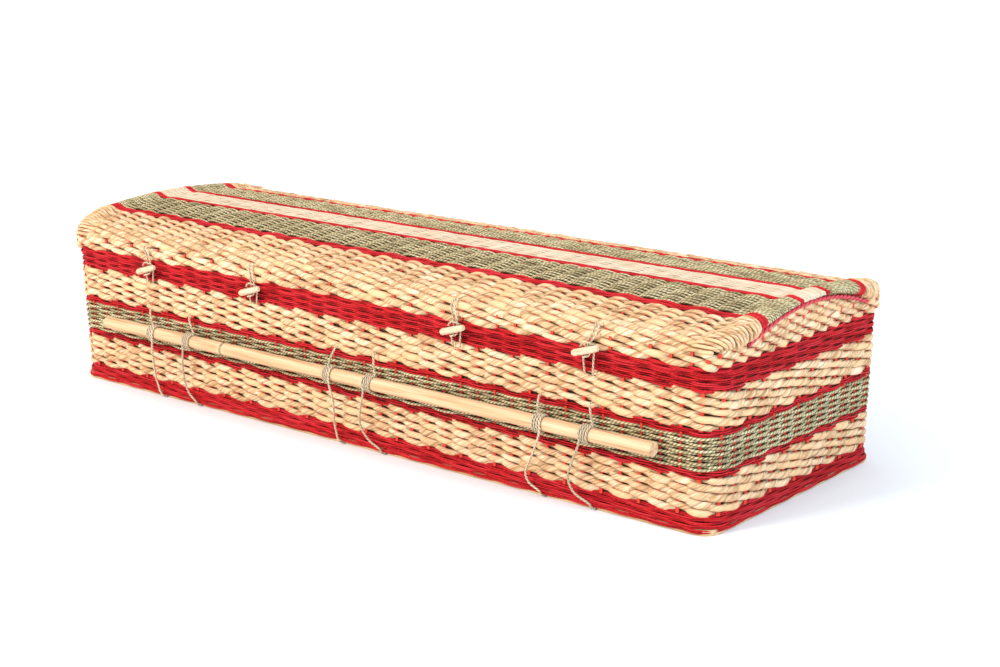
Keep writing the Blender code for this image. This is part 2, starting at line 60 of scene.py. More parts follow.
def dimmed(colour: Colour, share: float) -> Colour:
    """Return a share of a colour's light."""
    return tuple(share * part for part in colour)


class Side(Enum):
    """Long sides of the coffin, with the sign that turns the front's places into the side's own."""

    FRONT = 1
    BACK = -1

    @property
    def label(self) -> str:
        """Word that the side's pieces carry in their names."""
        return self.name.lower()

    def place(self, point: Sequence[float]) -> Vector:
        """Turn a place of the front to this side."""
        return Vector((self.value * point[0], self.value * point[1], point[2]))


Value = NodeSocket | float


class Graph:
    """Wires the nodes of one tree."""

    def __init__(self, tree: NodeTree) -> None:
        """Take up a tree."""
        self.tree = tree

    def node(self, kind: str, inputs: dict | None = None, **settings: str) -> Node:
        """Add a node.

        Args:
            kind: Blender's name of the node.
            inputs: Sockets to link or values to set, by the input's name or number.
            settings: Properties of the node itself.

        Returns:
            The new node.
        """
        node = self.tree.nodes.new(kind)
        for key, value in settings.items():
            setattr(node, key, value)
        for key, value in (inputs or {}).items():
            if isinstance(value, NodeSocket):
                self.tree.links.new(value, node.inputs[key])
            else:
                node.inputs[key].default_value = value
        return node

    def out(self, kind: str, inputs: dict | None = None, **settings: str) -> NodeSocket:
        """Add a node and return its first output."""
        return self.node(kind, inputs, **settings).outputs[0]

    def math(self, operation: str, first: Value, second: Value = 0.0, third: Value = 0.0) -> NodeSocket:
        """Return the result of one sum on sockets or numbers."""
        return self.out("ShaderNodeMath", {0: first, 1: second, 2: third}, operation=operation)

    def split(self, vector: NodeSocket) -> tuple[NodeSocket, ...]:
        """Return the three parts of a vector."""
        return tuple(self.node("ShaderNodeSeparateXYZ", {0: vector}).outputs)

    def joined(self, x: NodeSocket, y: NodeSocket, z: NodeSocket) -> NodeSocket:
        """Return the vector of three parts."""
        return self.out("ShaderNodeCombineXYZ", {0: x, 1: y, 2: z})


class Shades(Graph):
    """Wires the nodes of one material."""

    def __init__(self, name: str) -> None:
        """Start a material with its Principled shader."""
        self.material = bpy.data.materials.new(name)
        self.material.use_nodes = True
        super().__init__(self.material.node_tree)
        self.shader = self.tree.nodes["Principled BSDF"]

    def attribute(self, name: str, output: str) -> NodeSocket:
        """Return one of the mesh's own attributes."""
        return self.node("ShaderNodeAttribute", attribute_name=name).outputs[output]

    def object_place(self) -> NodeSocket:
        """Return the place on the piece, in metres."""
        return self.node("ShaderNodeTexCoord").outputs["Object"]

    def stretched(self, vector: NodeSocket, scale: Sequence[float]) -> NodeSocket:
        """Scale a pattern's space by its own amount along each axis."""
        return self.out("ShaderNodeVectorMath", {0: vector, 1: scale}, operation="MULTIPLY")

    def noise(self, vector: NodeSocket, stretch: Sequence[float], detail: float) -> NodeSocket:
        """Return soft noise between 0 and 1, stretched by its own amount along each axis."""
        inputs = {"Vector": self.stretched(vector, stretch), "Scale": 1.0, "Detail": detail}
        return self.out("ShaderNodeTexNoise", inputs)

    def ramp(self, factor: NodeSocket, stops: Sequence[tuple[float, Colour]]) -> NodeSocket:
        """Return a colour that runs through the stops as the factor rises."""
        node = self.node("ShaderNodeValToRGB", {0: factor})
        elements = node.color_ramp.elements
        while len(elements) < len(stops):
            elements.new(0.5)
        for element, (place, colour) in zip(elements, stops):
            element.position = place
            element.color = (*colour, 1.0)
        return node.outputs[0]

    def mix(self, factor: NodeSocket, first: NodeSocket, second: Colour) -> NodeSocket:
        """Mix a socket's colour with a plain colour."""
        inputs = {0: factor, 6: first, 7: (*second, 1.0)}
        return self.node("ShaderNodeMix", inputs, data_type="RGBA").outputs[2]

    def finish(self, colour: NodeSocket, roughness: float, height: NodeSocket, strength: float,
               distance: float, gloss: float = 0.30) -> Material:
        """Link the colour and the bump to the shader.

        Args:
            colour: Socket of the base colour.
            roughness: Roughness, the same all over.
            height: Socket of the bump's height.
            strength: Strength of the bump.
            distance: Height of the bump in metres.
            gloss: Specular level, the same all over.

        Returns:
            The finished material.
        """
        bump = self.out("ShaderNodeBump", {"Height": height, "Strength": strength, "Distance": distance})
        self.tree.links.new(colour, self.shader.inputs["Base Color"])
        self.tree.links.new(bump, self.shader.inputs["Normal"])
        self.shader.inputs["Roughness"].default_value = roughness
        self.shader.inputs["Specular IOR Level"].default_value = gloss
        return self.material


UNTWISTED = 1000.0


@dataclass(frozen=True)
class StrandFinish:
    """Finish of a strand whose fibres run along it.

    Its pattern reads three attributes: grain holds the distance along the strand in metres and the cosine
    and sine of the angle round it, tint is one shade for each stretch of strand, and shade is 1 where the
    strand passes behind a stake, where its colour is darkened as painted shade. The grooves between its
    plies and the flanks that turn away from the outside can be darkened as painted shade too. The three
    colours stand at three levels of streaks and patches, and odd is the colour of the few stretches whose
    tint is past odd_from.
    """

    name: str
    dark: Colour
    middle: Colour
    pale: Colour
    odd: Colour
    odd_from: float
    roughness: float
    streak: tuple[float, float, float]
    patch: tuple[float, float, float]
    bump: float
    lay: float = UNTWISTED
    plies: float = 2.0
    # how strongly the grooves between the plies are darkened as painted shade
    groove: float = 0.0
    keenness: float = 1.5
    # how strongly the strand is darkened behind the stakes as painted shade
    cavity: float = 0.0
    gloss: float = 0.30
    contrast: float = 0.24
    # how strongly the flanks that turn away from the outside are darkened as painted shade
    flanks: float = 0.0
    spread: float = 1.0
    levels: tuple[float, float, float] = (0.30, 0.50, 0.66)
    patch_share: float = 0.55
    # share of the dark colour's light left in the painted shade of the grooves
    groove_light: float = 0.35
    groove_height: float = -1.6
    # share of the dark colour's light left in the painted shade behind the stakes
    cavity_light: float = 0.30
    # share of the dark colour's light left in the painted shade on the flanks
    flank_light: float = 0.40
    bump_height: float = 0.0012

    def make(self) -> Material:
        """Build the material."""
        shades = Shades(self.name)
        tint = shades.attribute("tint", "Fac")
        recess = shades.attribute("shade", "Fac")
        along, across, upright = shades.split(shades.attribute("grain", "Vector"))
        angle = shades.math("ARCTAN2", upright, across)
        twisted = shades.math("MULTIPLY_ADD", along, math.tau / self.lay, angle)
        grain = shades.joined(along, shades.math("COSINE", twisted), shades.math("SINE", twisted))
        streaks = shades.noise(grain, self.streak, 3.0)
        patches = shades.noise(grain, self.patch, 2.0)
        level = shades.math("MULTIPLY_ADD", patches, self.patch_share,
                            shades.math("MULTIPLY", streaks, 1 - self.patch_share))
        level = shades.math("MULTIPLY_ADD", level, self.spread, 0.5 - 0.5 * self.spread)
        lowered = shades.math("ADD", level, -self.contrast / 2)
        level = shades.math("MULTIPLY_ADD", tint, self.contrast, lowered)
        colour = shades.ramp(level, tuple(zip(self.levels, (self.dark, self.middle, self.pale))))
        oddness = shades.math("MULTIPLY", shades.math("GREATER_THAN", tint, self.odd_from), patches)
        colour = shades.mix(oddness, colour, self.odd)
        height = streaks
        # painted shade: darken the grooves between the plies
        if self.groove:
            crest = shades.math("COSINE", shades.math("MULTIPLY", twisted, self.plies / 2))
            crest = shades.math("MULTIPLY", shades.math("ABSOLUTE", crest), self.keenness)
            between = shades.math("MAXIMUM", shades.math("SUBTRACT", 1.0, crest), 0.0)
            shade = shades.math("MULTIPLY", between, self.groove)
            colour = shades.mix(shade, colour, dimmed(self.dark, self.groove_light))
            height = shades.math("MULTIPLY_ADD", between, self.groove_height, streaks)
        # painted shade: darken the strand where it passes behind a stake
        recess_shade_mask = shades.math("MULTIPLY", recess, self.cavity)
        colour = shades.mix(recess_shade_mask, colour, dimmed(self.dark, self.cavity_light))
        # painted shade: darken the sides and back of the strand, away from its outward face
        if self.flanks:
            turned = shades.math("SUBTRACT", 1.0, shades.math("MAXIMUM", upright, 0.0))
            flank_shade_mask = shades.math("MULTIPLY", shades.math("MULTIPLY", turned, turned), self.flanks)
            colour = shades.mix(flank_shade_mask, colour, dimmed(self.dark, self.flank_light))
        return shades.finish(colour, self.roughness, height, self.bump, self.bump_height, self.gloss)


@dataclass(frozen=True)
class PlankFinish:
    """Finish of a board or a plain wall whose grain runs along X, with glue lines where edge_plies is set."""

    name: str
    dark: Colour
    pale: Colour
    roughness: float
    edge_plies: float = 0.0
    grain: tuple[float, float, float] = (3.0, 90.0, 90.0)
    cloud: tuple[float, float, float] = (2.0, 9.0, 9.0)
    grain_share: float = 0.6
    levels: tuple[float, float] = (0.35, 0.62)
    glue_from: float = 0.55
    glue_strength: float = 0.45
    glue_light: float = 0.45
    bump: float = 0.25
    bump_height: float = 0.0008

    def make(self) -> Material:
        """Build the material, with glued plies on upright faces where the wood has them."""
        shades = Shades(self.name)
        place = shades.object_place()
        grain = shades.noise(place, self.grain, 4.0)
        cloud = shades.noise(place, self.cloud, 2.0)
        level = shades.math("MULTIPLY_ADD", grain, self.grain_share,
                            shades.math("MULTIPLY", cloud, 1 - self.grain_share))
        colour = shades.ramp(level, tuple(zip(self.levels, (self.dark, self.pale))))
        if self.edge_plies:
            height = shades.split(place)[2]
            wave = shades.math("SINE", shades.math("MULTIPLY", height, self.edge_plies))
            line = shades.math("GREATER_THAN", wave, self.glue_from)
            glue = shades.math("MULTIPLY", line, self.glue_strength)
            upward = shades.split(shades.node("ShaderNodeNewGeometry").outputs["Normal"])[2]
            upright = shades.math("LESS_THAN", shades.math("ABSOLUTE", upward), 0.5)
            shown = shades.math("MULTIPLY", glue, upright)
            colour = shades.mix(shown, colour, dimmed(self.dark, self.glue_light))
        return shades.finish(colour, self.roughness, grain, self.bump, self.bump_height)


LEAF_LAY = 0.064
CORD_LAY = 0.012
SEAGRASS_LAY = 0.019
ROPE_LAY = 0.0175
END_CORD_LAY = 0.034

LEAF = StrandFinish(
    name="dried banana leaf", dark=(0.45, 0.225, 0.09), middle=(0.77, 0.475, 0.25), pale=(0.87, 0.645, 0.43),
    odd=(0.78, 0.42, 0.16), odd_from=0.78, roughness=0.55, streak=(12.0, 2.6, 2.6), patch=(24.0, 1.3, 1.3),
    bump=0.50, lay=LEAF_LAY, plies=1.0, groove=0.50, keenness=4.5, cavity=0.50, contrast=0.20, flanks=0.55,
    spread=1.35)
RED_CORD = StrandFinish(
    name="red paper cord", dark=(0.28, 0.004, 0.006), middle=(0.68, 0.016, 0.019), pale=(0.84, 0.040, 0.044),
    odd=(0.66, 0.030, 0.045), odd_from=0.7, roughness=0.50, streak=(60.0, 2.6, 2.6), patch=(22.0, 1.1, 1.1),
    bump=0.5, lay=CORD_LAY, groove=0.30, cavity=0.30, gloss=0.12, flanks=0.70)
RED_THREADS = replace(
    RED_CORD, name="red stake threads", dark=(0.46, 0.020, 0.012), middle=(0.66, 0.045, 0.022),
    pale=(0.74, 0.075, 0.040), lay=UNTWISTED, groove=0.0, cavity=0.0, bump=0.3, flanks=0.2)
END_CORD = replace(
    RED_CORD, name="pink twisted cord", middle=(0.62, 0.050, 0.075), pale=(0.80, 0.13, 0.16),
    lay=END_CORD_LAY, groove=0.85, gloss=0.25)
SEAGRASS = StrandFinish(
    name="seagrass cord", dark=(0.16, 0.105, 0.040), middle=(0.63, 0.485, 0.240), pale=(0.88, 0.755, 0.480),
    odd=(0.60, 0.44, 0.20), odd_from=0.86, roughness=0.62, streak=(90.0, 2.4, 2.4), patch=(34.0, 1.2, 1.2),
    bump=0.6, lay=SEAGRASS_LAY, groove=0.95, keenness=1.35, cavity=0.45, contrast=0.20, flanks=0.92)
CREAM_FIBRE = StrandFinish(
    name="cream fibre", dark=(0.52, 0.36, 0.21), middle=(0.74, 0.565, 0.395), pale=(0.82, 0.67, 0.50),
    odd=(0.74, 0.53, 0.33), odd_from=0.93, roughness=0.6, streak=(9.0, 5.5, 5.5), patch=(16.0, 1.0, 1.0),
    bump=0.5, gloss=0.15, contrast=0.12, flanks=0.22)
ROPE_FIBRE = StrandFinish(
    name="natural rope", dark=(0.38, 0.245, 0.120), middle=(0.76, 0.600, 0.390), pale=(0.88, 0.76, 0.57),
    odd=(0.50, 0.35, 0.18), odd_from=0.9, roughness=0.75, streak=(120.0, 2.5, 2.5), patch=(40.0, 1.2, 1.2),
    bump=0.6, lay=ROPE_LAY, groove=0.75, keenness=1.6, gloss=0.15, flanks=0.25)
PEELED_CANE = StrandFinish(
    name="peeled cane", dark=(0.48, 0.255, 0.120), middle=(0.70, 0.440, 0.240), pale=(0.77, 0.525, 0.320),
    odd=(0.06, 0.024, 0.008), odd_from=0.9, roughness=0.6, streak=(5.0, 7.0, 7.0), patch=(5.0, 1.8, 1.8),
    bump=0.12, gloss=0.12, spread=1.3)
PEG_WOOD = StrandFinish(
    name="whittled wood", dark=(0.44, 0.29, 0.15), middle=(0.66, 0.51, 0.330), pale=(0.77, 0.64, 0.46),
    odd=(0.7, 0.5, 0.3), odd_from=2.0, roughness=0.6, streak=(30.0, 5.0, 5.0), patch=(60.0, 1.8, 1.8),
    bump=0.5, gloss=0.2)
PLYWOOD = PlankFinish(
    name="plywood", dark=(0.50, 0.275, 0.115), pale=(0.77, 0.52, 0.28), roughness=0.62, edge_plies=3100.0)
# dark wall behind the weave, whose colour is painted shade seen through the gaps between strands
PAINTED_SHADE_WALL = PlankFinish(name="shaded core", dark=(0.040, 0.011, 0.006), pale=(0.090, 0.028, 0.014), roughness=0.9)
LINING = PlankFinish(name="inner leaf wall", dark=(0.38, 0.20, 0.080), pale=(0.70, 0.47, 0.24), roughness=0.6)


@dataclass(frozen=True)
class Yarn:
    """One kind of strand: its finish, its slot in the record and the make of its cross-section.

    sides is the count of its corners, cords how many lie side by side in a row, ply_depth the depth of the
    groove between its plies as a share of its radius, and sharp the angle in degrees past which an edge
    stays sharp, or 0 for none.
    """

    finish: StrandFinish
    slot: str
    sides: int
    cords: int = 1
    plies: float = 2.0
    ply_depth: float = 0.0
    sharp: float = 0.0


LEAF_YARN = Yarn(LEAF, "leaf", 8, plies=1.0, ply_depth=0.16)
RED_YARN = Yarn(RED_CORD, "red_cord", 4, cords=2)
SEAGRASS_YARN = Yarn(SEAGRASS, "seagrass", 6, ply_depth=0.12)
CREAM_YARN = Yarn(CREAM_FIBRE, "cream_fibre", 6)
STAKE_YARN = Yarn(RED_THREADS, "red_cord", 12, plies=3.0, ply_depth=0.45)
END_CORD_YARN = Yarn(END_CORD, "red_cord", 10, ply_depth=0.45)
ROPE_YARN = Yarn(ROPE_FIBRE, "rope", 8, ply_depth=0.40)
CANE_YARN = Yarn(PEELED_CANE, "cane", 24, sharp=50.0)
PEG_YARN = Yarn(PEG_WOOD, "peg_wood", 9, sharp=24.0)


class Palette:
    """Materials of the coffin, each made once."""

    def __init__(self) -> None:
        """Start with no material made."""
        self.made: dict[str, Material] = {}

    def get(self, finish: StrandFinish | PlankFinish) -> Material:
        """Return the material of a finish."""
        if finish.name not in self.made:
            self.made[finish.name] = finish.make()
        return self.made[finish.name]


class Station(NamedTuple):
    """One cross-section of a strand."""

    centre: Vector
    out: Vector
    side: Vector
    half_height: float
    half_depth: float
    turn: float
    along: float
    tint: float
    shade: float = 0.0


class Place(NamedTuple):
    """A place on the woven surface that a strand follows."""

    point: Vector
    out: Vector
    side: Vector
    spacings: float
    calm: float


class Strands:
    """Stations of many strands, kept as flat lists for one guide mesh."""

    def __init__(self, strands: Iterable[Iterable[Station]] = ()) -> None:
        """Start with the given strands."""
        self.count = 0
        self.strand: list[int] = []
        self.points: list[float] = []
        self.outs: list[float] = []
        self.sides: list[float] = []
        self.girths: list[float] = []
        self.marks: list[float] = []
        for stations in strands:
            self.add(stations)

    def add(self, stations: Iterable[Station]) -> None:
        """Append one strand."""
        for station in stations:
            self.strand.append(self.count)
            self.points.extend(station.centre)
            self.outs.extend(station.out)
            self.sides.extend(station.side)
            self.girths.extend((station.half_height, station.half_depth, station.turn))
            self.marks.extend((station.along, station.tint, station.shade))
        self.count += 1

    def guide(self, name: str) -> Mesh:
        """Return a mesh of loose points that carries every station as attributes."""
        mesh = bpy.data.meshes.new(name)
        mesh.vertices.add(len(self.strand))
        mesh.vertices.foreach_set("co", self.points)
        mesh.attributes.new("strand", "INT", "POINT").data.foreach_set("value", self.strand)
        vectors = (("out", self.outs), ("side", self.sides), ("girth", self.girths), ("mark", self.marks))
        for label, values in vectors:
            mesh.attributes.new(label, "FLOAT_VECTOR", "POINT").data.foreach_set("vector", values)
        return mesh


class Sweep(Graph):
    """Geometry Nodes tree that turns a guide mesh into strands with their own cross-sections."""

    def __init__(self) -> None:
        """Build the tree once."""
        super().__init__(bpy.data.node_groups.new("sweep strands", "GeometryNodeTree"))
        self.keys: dict[str, str] = {}
        kinds = {"Geometry": "Geometry", "Sides": "Int", "Closed": "Bool", "Plies": "Float",
                 "Ply Depth": "Float", "Material": "Material"}
        for name, kind in kinds.items():
            socket = self.tree.interface.new_socket(name, in_out="INPUT", socket_type="NodeSocket" + kind)
            self.keys[name] = socket.identifier
        self.tree.interface.new_socket("Geometry", in_out="OUTPUT", socket_type="NodeSocketGeometry")
        self.entry = self.node("NodeGroupInput").outputs
        self.build()

    def named(self, name: str, kind: str = "FLOAT_VECTOR") -> NodeSocket:
        """Return the socket of a mesh attribute."""
        return self.out("GeometryNodeInputNamedAttribute", {"Name": name}, data_type=kind)

    def scaled(self, vector: NodeSocket, factor: NodeSocket) -> NodeSocket:
        """Return a vector times a number."""
        return self.out("ShaderNodeVectorMath", {0: vector, "Scale": factor}, operation="SCALE")

    def store(self, geometry: NodeSocket, name: str, value: NodeSocket, kind: str = "FLOAT") -> NodeSocket:
        """Keep a value on each point of a geometry."""
        inputs = {"Geometry": geometry, "Name": name, "Value": value}
        return self.out("GeometryNodeStoreNamedAttribute", inputs, data_type=kind, domain="POINT")

    def swept(self) -> NodeSocket:
        """Return the strands as tubes without girth, whose points know their angle round the strand."""
        points = self.out("GeometryNodeMeshToPoints", {"Mesh": self.entry["Geometry"]})
        curves = self.out("GeometryNodePointsToCurves", {
            "Points": points, "Curve Group ID": self.named("strand", "INT"),
            "Weight": self.out("GeometryNodeInputIndex")})
        curves = self.out("GeometryNodeSetSplineCyclic", {"Geometry": curves, "Cyclic": self.entry["Closed"]})
        sides = self.entry["Sides"]
        circle = self.out("GeometryNodeCurvePrimitiveCircle", {"Resolution": sides, "Radius": 0.001})
        step = self.math("DIVIDE", math.tau, sides)
        turned = self.math("MULTIPLY", self.out("GeometryNodeInputIndex"), step)
        circle = self.store(circle, "angle", turned)
        return self.out("GeometryNodeCurveToMesh", {
            "Curve": curves, "Profile Curve": circle, "Scale": 0.0, "Fill Caps": True})

    def offset(self, cosine: NodeSocket, sine: NodeSocket, angle: NodeSocket) -> NodeSocket:
        """Return how far each point stands off the middle of its strand.

        Args:
            cosine: Cosine of the point's angle round the strand.
            sine: Sine of that angle.
            angle: The angle itself, which the plies turn against.

        Returns:
            The offset.
        """
        height, depth, turn = self.split(self.named("girth"))
        twisted = self.math("SUBTRACT", angle, turn)
        half_plies = self.math("MULTIPLY", self.entry["Plies"], 0.5)
        lobes = self.math("ABSOLUTE", self.math("COSINE", self.math("MULTIPLY", twisted, half_plies)))
        hollow = self.math("MULTIPLY", self.math("SUBTRACT", 1.0, lobes), self.entry["Ply Depth"])
        relief = self.math("SUBTRACT", 1.0, hollow)
        rise = self.math("MULTIPLY", self.math("MULTIPLY", cosine, height), relief)
        stand = self.math("MULTIPLY", self.math("MULTIPLY", sine, depth), relief)
        parts = {0: self.scaled(self.named("side"), rise), 1: self.scaled(self.named("out"), stand)}
        return self.out("ShaderNodeVectorMath", parts, operation="ADD")

    def build(self) -> None:
        """Wire the tree: swept tubes, their attributes, cross-sections and material."""
        angle = self.named("angle", "FLOAT")
        cosine, sine = self.math("COSINE", angle), self.math("SINE", angle)
        along, tint, shade = self.split(self.named("mark"))
        shaped = self.store(self.swept(), "grain", self.joined(along, cosine, sine), "FLOAT_VECTOR")
        shaped = self.store(shaped, "tint", tint)
        shaped = self.store(shaped, "shade", shade)
        offset = self.offset(cosine, sine, angle)
        shaped = self.out("GeometryNodeSetPosition", {"Geometry": shaped, "Offset": offset})
        shaped = self.out("GeometryNodeSetShadeSmooth", {"Geometry": shaped, "Shade Smooth": True})
        shaped = self.out("GeometryNodeRealizeInstances", {"Geometry": shaped})
        inputs = {"Geometry": shaped, "Material": self.entry["Material"]}
        shaped = self.out("GeometryNodeSetMaterial", inputs)
        self.node("NodeGroupOutput", {0: shaped})

    def piece(self, name: str, strands: Strands, material: Material, yarn: Yarn, closed: bool) -> Object:
        """Turn strands into one plain mesh object.

        Args:
            name: Name of the piece.
            strands: The strands' stations.
            material: Material of the piece.
            yarn: Make of each strand's cross-section.
            closed: True where every strand is a closed ring.

        Returns:
            The piece, at the origin, without modifiers.
        """
        item = bpy.data.objects.new(name, strands.guide(name))
        bpy.context.collection.objects.link(item)
        modifier = item.modifiers.new("sweep", "NODES")
        modifier.node_group = self.tree
        values = {"Sides": yarn.sides, "Closed": closed, "Plies": yarn.plies, "Ply Depth": yarn.ply_depth,
                  "Material": material}
        for key, value in values.items():
            modifier[self.keys[key]] = value
        depsgraph = bpy.context.evaluated_depsgraph_get()
        mesh = bpy.data.meshes.new_from_object(item.evaluated_get(depsgraph), depsgraph=depsgraph)
        item.modifiers.remove(modifier)
        guide = item.data
        item.data = mesh
        bpy.data.meshes.remove(guide)
        mesh.name = name
        drop_guides(mesh)
        if yarn.sharp:
            mesh.set_sharp_from_angle(angle=math.radians(yarn.sharp))
        return item


def drop_guides(mesh: Mesh) -> None:
    """Remove the attributes that only shaped the strands."""
    for label in ("strand", "out", "side", "girth", "mark", "angle"):
        if label in mesh.attributes:
            mesh.attributes.remove(mesh.attributes[label])


@dataclass(frozen=True)
class Weave:
    """How one kind of strand passes in front of and behind the stakes.

    Sizes are in metres. Depths are measured outward from the nominal wall. The calm sizes are for the rolled
    ends of the lid, where the strands lie side by side. uneven scales the three limits of unevenness.
    """

    samples: int
    thin: float
    fat: float
    half_depth: float
    middle: float
    swing: float
    fall: float
    lay: float
    uneven: float
    calm_height: float
    calm_depth: float
    calm_half_depth: float
    fullness: float = 0.8
    plunge: float = 1.0
    spread: float = 0.0
    drift: float = 0.004
    sink: float = 0.003
    calm_sink: float = 0.005

    def stations(self, places: Sequence[Place], row: int, seed: int, offset: float = 0.0,
                 around: int = 0, sway: float = 0.0) -> list[Station]:
        """Weave one strand along its places.

        Args:
            places: Places on the surface, in order.
            row: Number of the row, whose parity says which stakes it passes in front of.
            seed: Seed of the strand's unevenness.
            offset: Distance of the strand from the middle of its row, sideways.
            around: Number of stakes of a closed ring, or 0 for an open strand.
            sway: How far the whole row sways sideways between the stakes.

        Returns:
            The strand's stations.
        """
        draw = random.Random(seed)
        start = draw.uniform(0.0, 9.0)
        lumps: dict[int, tuple[float, float, float, float]] = {}
        stations = []
        distance = 0.0
        before = places[0].point
        for place in places:
            distance += (place.point - before).length
            before = place.point
            phase = place.spacings + row
            number = math.floor((phase + 1) / 2)
            share = phase - 2 * number
            key = number % (around // 2) if around else number
            if key not in lumps:
                lumps[key] = tuple(draw.uniform(-1.0, 1.0) for _ in range(4))
            swell, drift, sink, tint = lumps[key]
            ease = max(0.0, math.cos(math.pi * share / 2)) ** self.fullness
            height = self.thin + (self.fat * (1 + 0.5 * self.uneven * swell) - self.thin) * ease
            rise = -self.fall * share * (1 - abs(share) ** 5) + self.uneven * self.drift * drift * ease
            swing = math.cos(math.pi * share)
            depth = self.middle + self.swing * math.copysign(abs(swing) ** self.plunge, swing)
            depth += self.uneven * self.sink * sink * ease
            rise += sway * math.cos(math.pi * place.spacings)
            height += (self.calm_height - height) * place.calm
            depth += (self.calm_depth + self.uneven * self.calm_sink * sink - depth) * place.calm
            rise *= 1 - place.calm
            rise += offset * (1 + self.spread * ease * (1 - place.calm))
            centre = place.point + place.out * depth + place.side * rise
            along = start + distance
            # how far the strand lies behind a stake, where its material paints shade
            shade = max(0.0, -swing) * (1 - place.calm)
            half_depth = self.half_depth + (self.calm_half_depth - self.half_depth) * place.calm
            stations.append(Station(centre, place.out, place.side, height, half_depth,
                                    -math.tau * along / self.lay, along, 0.5 + 0.5 * tint, shade))
        return stations


LEAF_WEAVE = Weave(samples=6, thin=0.0041, fat=0.0085, half_depth=0.0048, middle=-0.0082, swing=0.0046,
                   fall=0.0056, lay=LEAF_LAY, uneven=0.38, calm_height=0.0044, calm_depth=-0.0046,
                   calm_half_depth=0.0066, fullness=0.45, plunge=0.75)
SHOULDER_WEAVE = replace(LEAF_WEAVE, fat=0.0090, middle=-0.0070, swing=0.0046, half_depth=0.0054)
SKIRT_WEAVE = replace(LEAF_WEAVE, samples=8, thin=0.0056, swing=0.0036, fall=0.0050)
PANEL_WEAVE = replace(LEAF_WEAVE, samples=5, thin=0.0066, fat=0.0092, half_depth=0.0054, fall=0.0044,
                      swing=0.0024)
CORD_WEAVE = Weave(samples=4, thin=0.0018, fat=0.0021, half_depth=0.0020, middle=-0.0062, swing=0.0032,
                   fall=0.0012, lay=CORD_LAY, uneven=0.14, calm_height=0.0023, calm_depth=-0.0030,
                   calm_half_depth=0.0020, spread=0.14)
PLINTH_WEAVE = replace(CORD_WEAVE, thin=0.0022, fat=0.0024, swing=0.0014)
LID_CORD_WEAVE = replace(CORD_WEAVE, thin=0.0022, fat=0.0024, half_depth=0.0024, middle=-0.0040, swing=0.0009,
                         fall=0.0, calm_height=0.0024, calm_half_depth=0.0024)
SEAGRASS_WEAVE = Weave(samples=8, thin=0.0027, fat=0.0035, half_depth=0.0036, middle=-0.0062, swing=0.0034,
                       fall=0.0, lay=SEAGRASS_LAY, uneven=0.12, calm_height=0.0032, calm_depth=-0.0040,
                       calm_half_depth=0.0036)
CREAM_WEAVE = Weave(samples=4, thin=0.0040, fat=0.0046, half_depth=0.0017, middle=-0.0038, swing=0.0012,
                    fall=0.0, lay=UNTWISTED, uneven=0.14, calm_height=0.0040, calm_depth=-0.0024,
                    calm_half_depth=0.0020)


STAKES = 108
END_STAKES = 12
PLAN_HALF_LENGTH = 0.965
PLAN_HALF_WIDTH = 0.3275
PLAN_CORNER = 0.060
LEAN_ALONG = 0.035
LEAN_ACROSS = 0.012
PLINTH_FLARE = 0.0085
PLINTH_FLARE_TOP = 0.034
LID_HALF_LENGTH = 0.975
LID_HALF_WIDTH = 0.335
LID_CORNER = 0.036
LID_SPRING = 0.3733
LID_RISE = 0.0652
END_RUN = 2 * (PLAN_HALF_WIDTH - PLAN_CORNER)
SIDE_RUN = 2 * (PLAN_HALF_LENGTH - PLAN_CORNER)
CORNER_RUN = PLAN_CORNER * math.pi / 2
ROUND = 2 * (END_RUN + SIDE_RUN) + 4 * CORNER_RUN
SPACING = ROUND / STAKES
FIRST_SPACING = 200
STAKE_HALF_DEPTH = 0.0032
STAKE_TINT = 0.65


@dataclass(frozen=True)
class Plan:
    """Rounded rectangle that a ring follows at one height."""

    half_length: float
    half_width: float
    corner: float = PLAN_CORNER

    def at(self, share: float) -> tuple[Vector, Vector]:
        """Return a place and its outward direction.

        Args:
            share: Share of the way round, anticlockwise from the front corner of the right end.

        Returns:
            The place and the direction, both level.
        """
        a = self.half_length - self.corner
        b = self.half_width - self.corner
        corners = (Vector((a, b, 0)), Vector((-a, b, 0)), Vector((-a, -b, 0)), Vector((a, -b, 0)))
        left = (share % 1.0) * ROUND
        for quarter in range(4):
            straight = SIDE_RUN if quarter % 2 else END_RUN
            angle = math.pi / 2 * quarter
            if left < straight:
                out = Vector((math.cos(angle), math.sin(angle), 0.0))
                return corners[quarter - 1].lerp(corners[quarter], left / straight) + out * self.corner, out
            left -= straight
            if left < CORNER_RUN:
                angle += math.pi / 2 * left / CORNER_RUN
                out = Vector((math.cos(angle), math.sin(angle), 0.0))
                return corners[quarter] + out * self.corner, out
            left -= CORNER_RUN
        return self.at(0.0)


def base_plan(height: float) -> Plan:
    """Plan of the basket at a height: its walls lean out."""
    return Plan(PLAN_HALF_LENGTH + LEAN_ALONG * height, PLAN_HALF_WIDTH + LEAN_ACROSS * height)


def plinth_plan(height: float) -> Plan:
    """Plan of the red rows at the foot, which spread over the board's edge."""
    flare = PLINTH_FLARE * max(0.0, 1.0 - height / PLINTH_FLARE_TOP)
    plan = base_plan(height)
    return Plan(plan.half_length + flare, plan.half_width + flare)


def rim_plan(_height: float) -> Plan:
    """Plan of the lid's red rim, the same at any height, which follows the basket's corners."""
    return Plan(LID_HALF_LENGTH, LID_HALF_WIDTH)


def lid_plan(_height: float) -> Plan:
    """Plan of the lid's leaf rows, the same at any height, which turn the corners more tightly."""
    return Plan(LID_HALF_LENGTH, LID_HALF_WIDTH, LID_CORNER)


def plain_count(way: float) -> float:
    """Count the stakes passed on the way round a ring, measured in spacings from the right end's front."""
    return way - 0.5


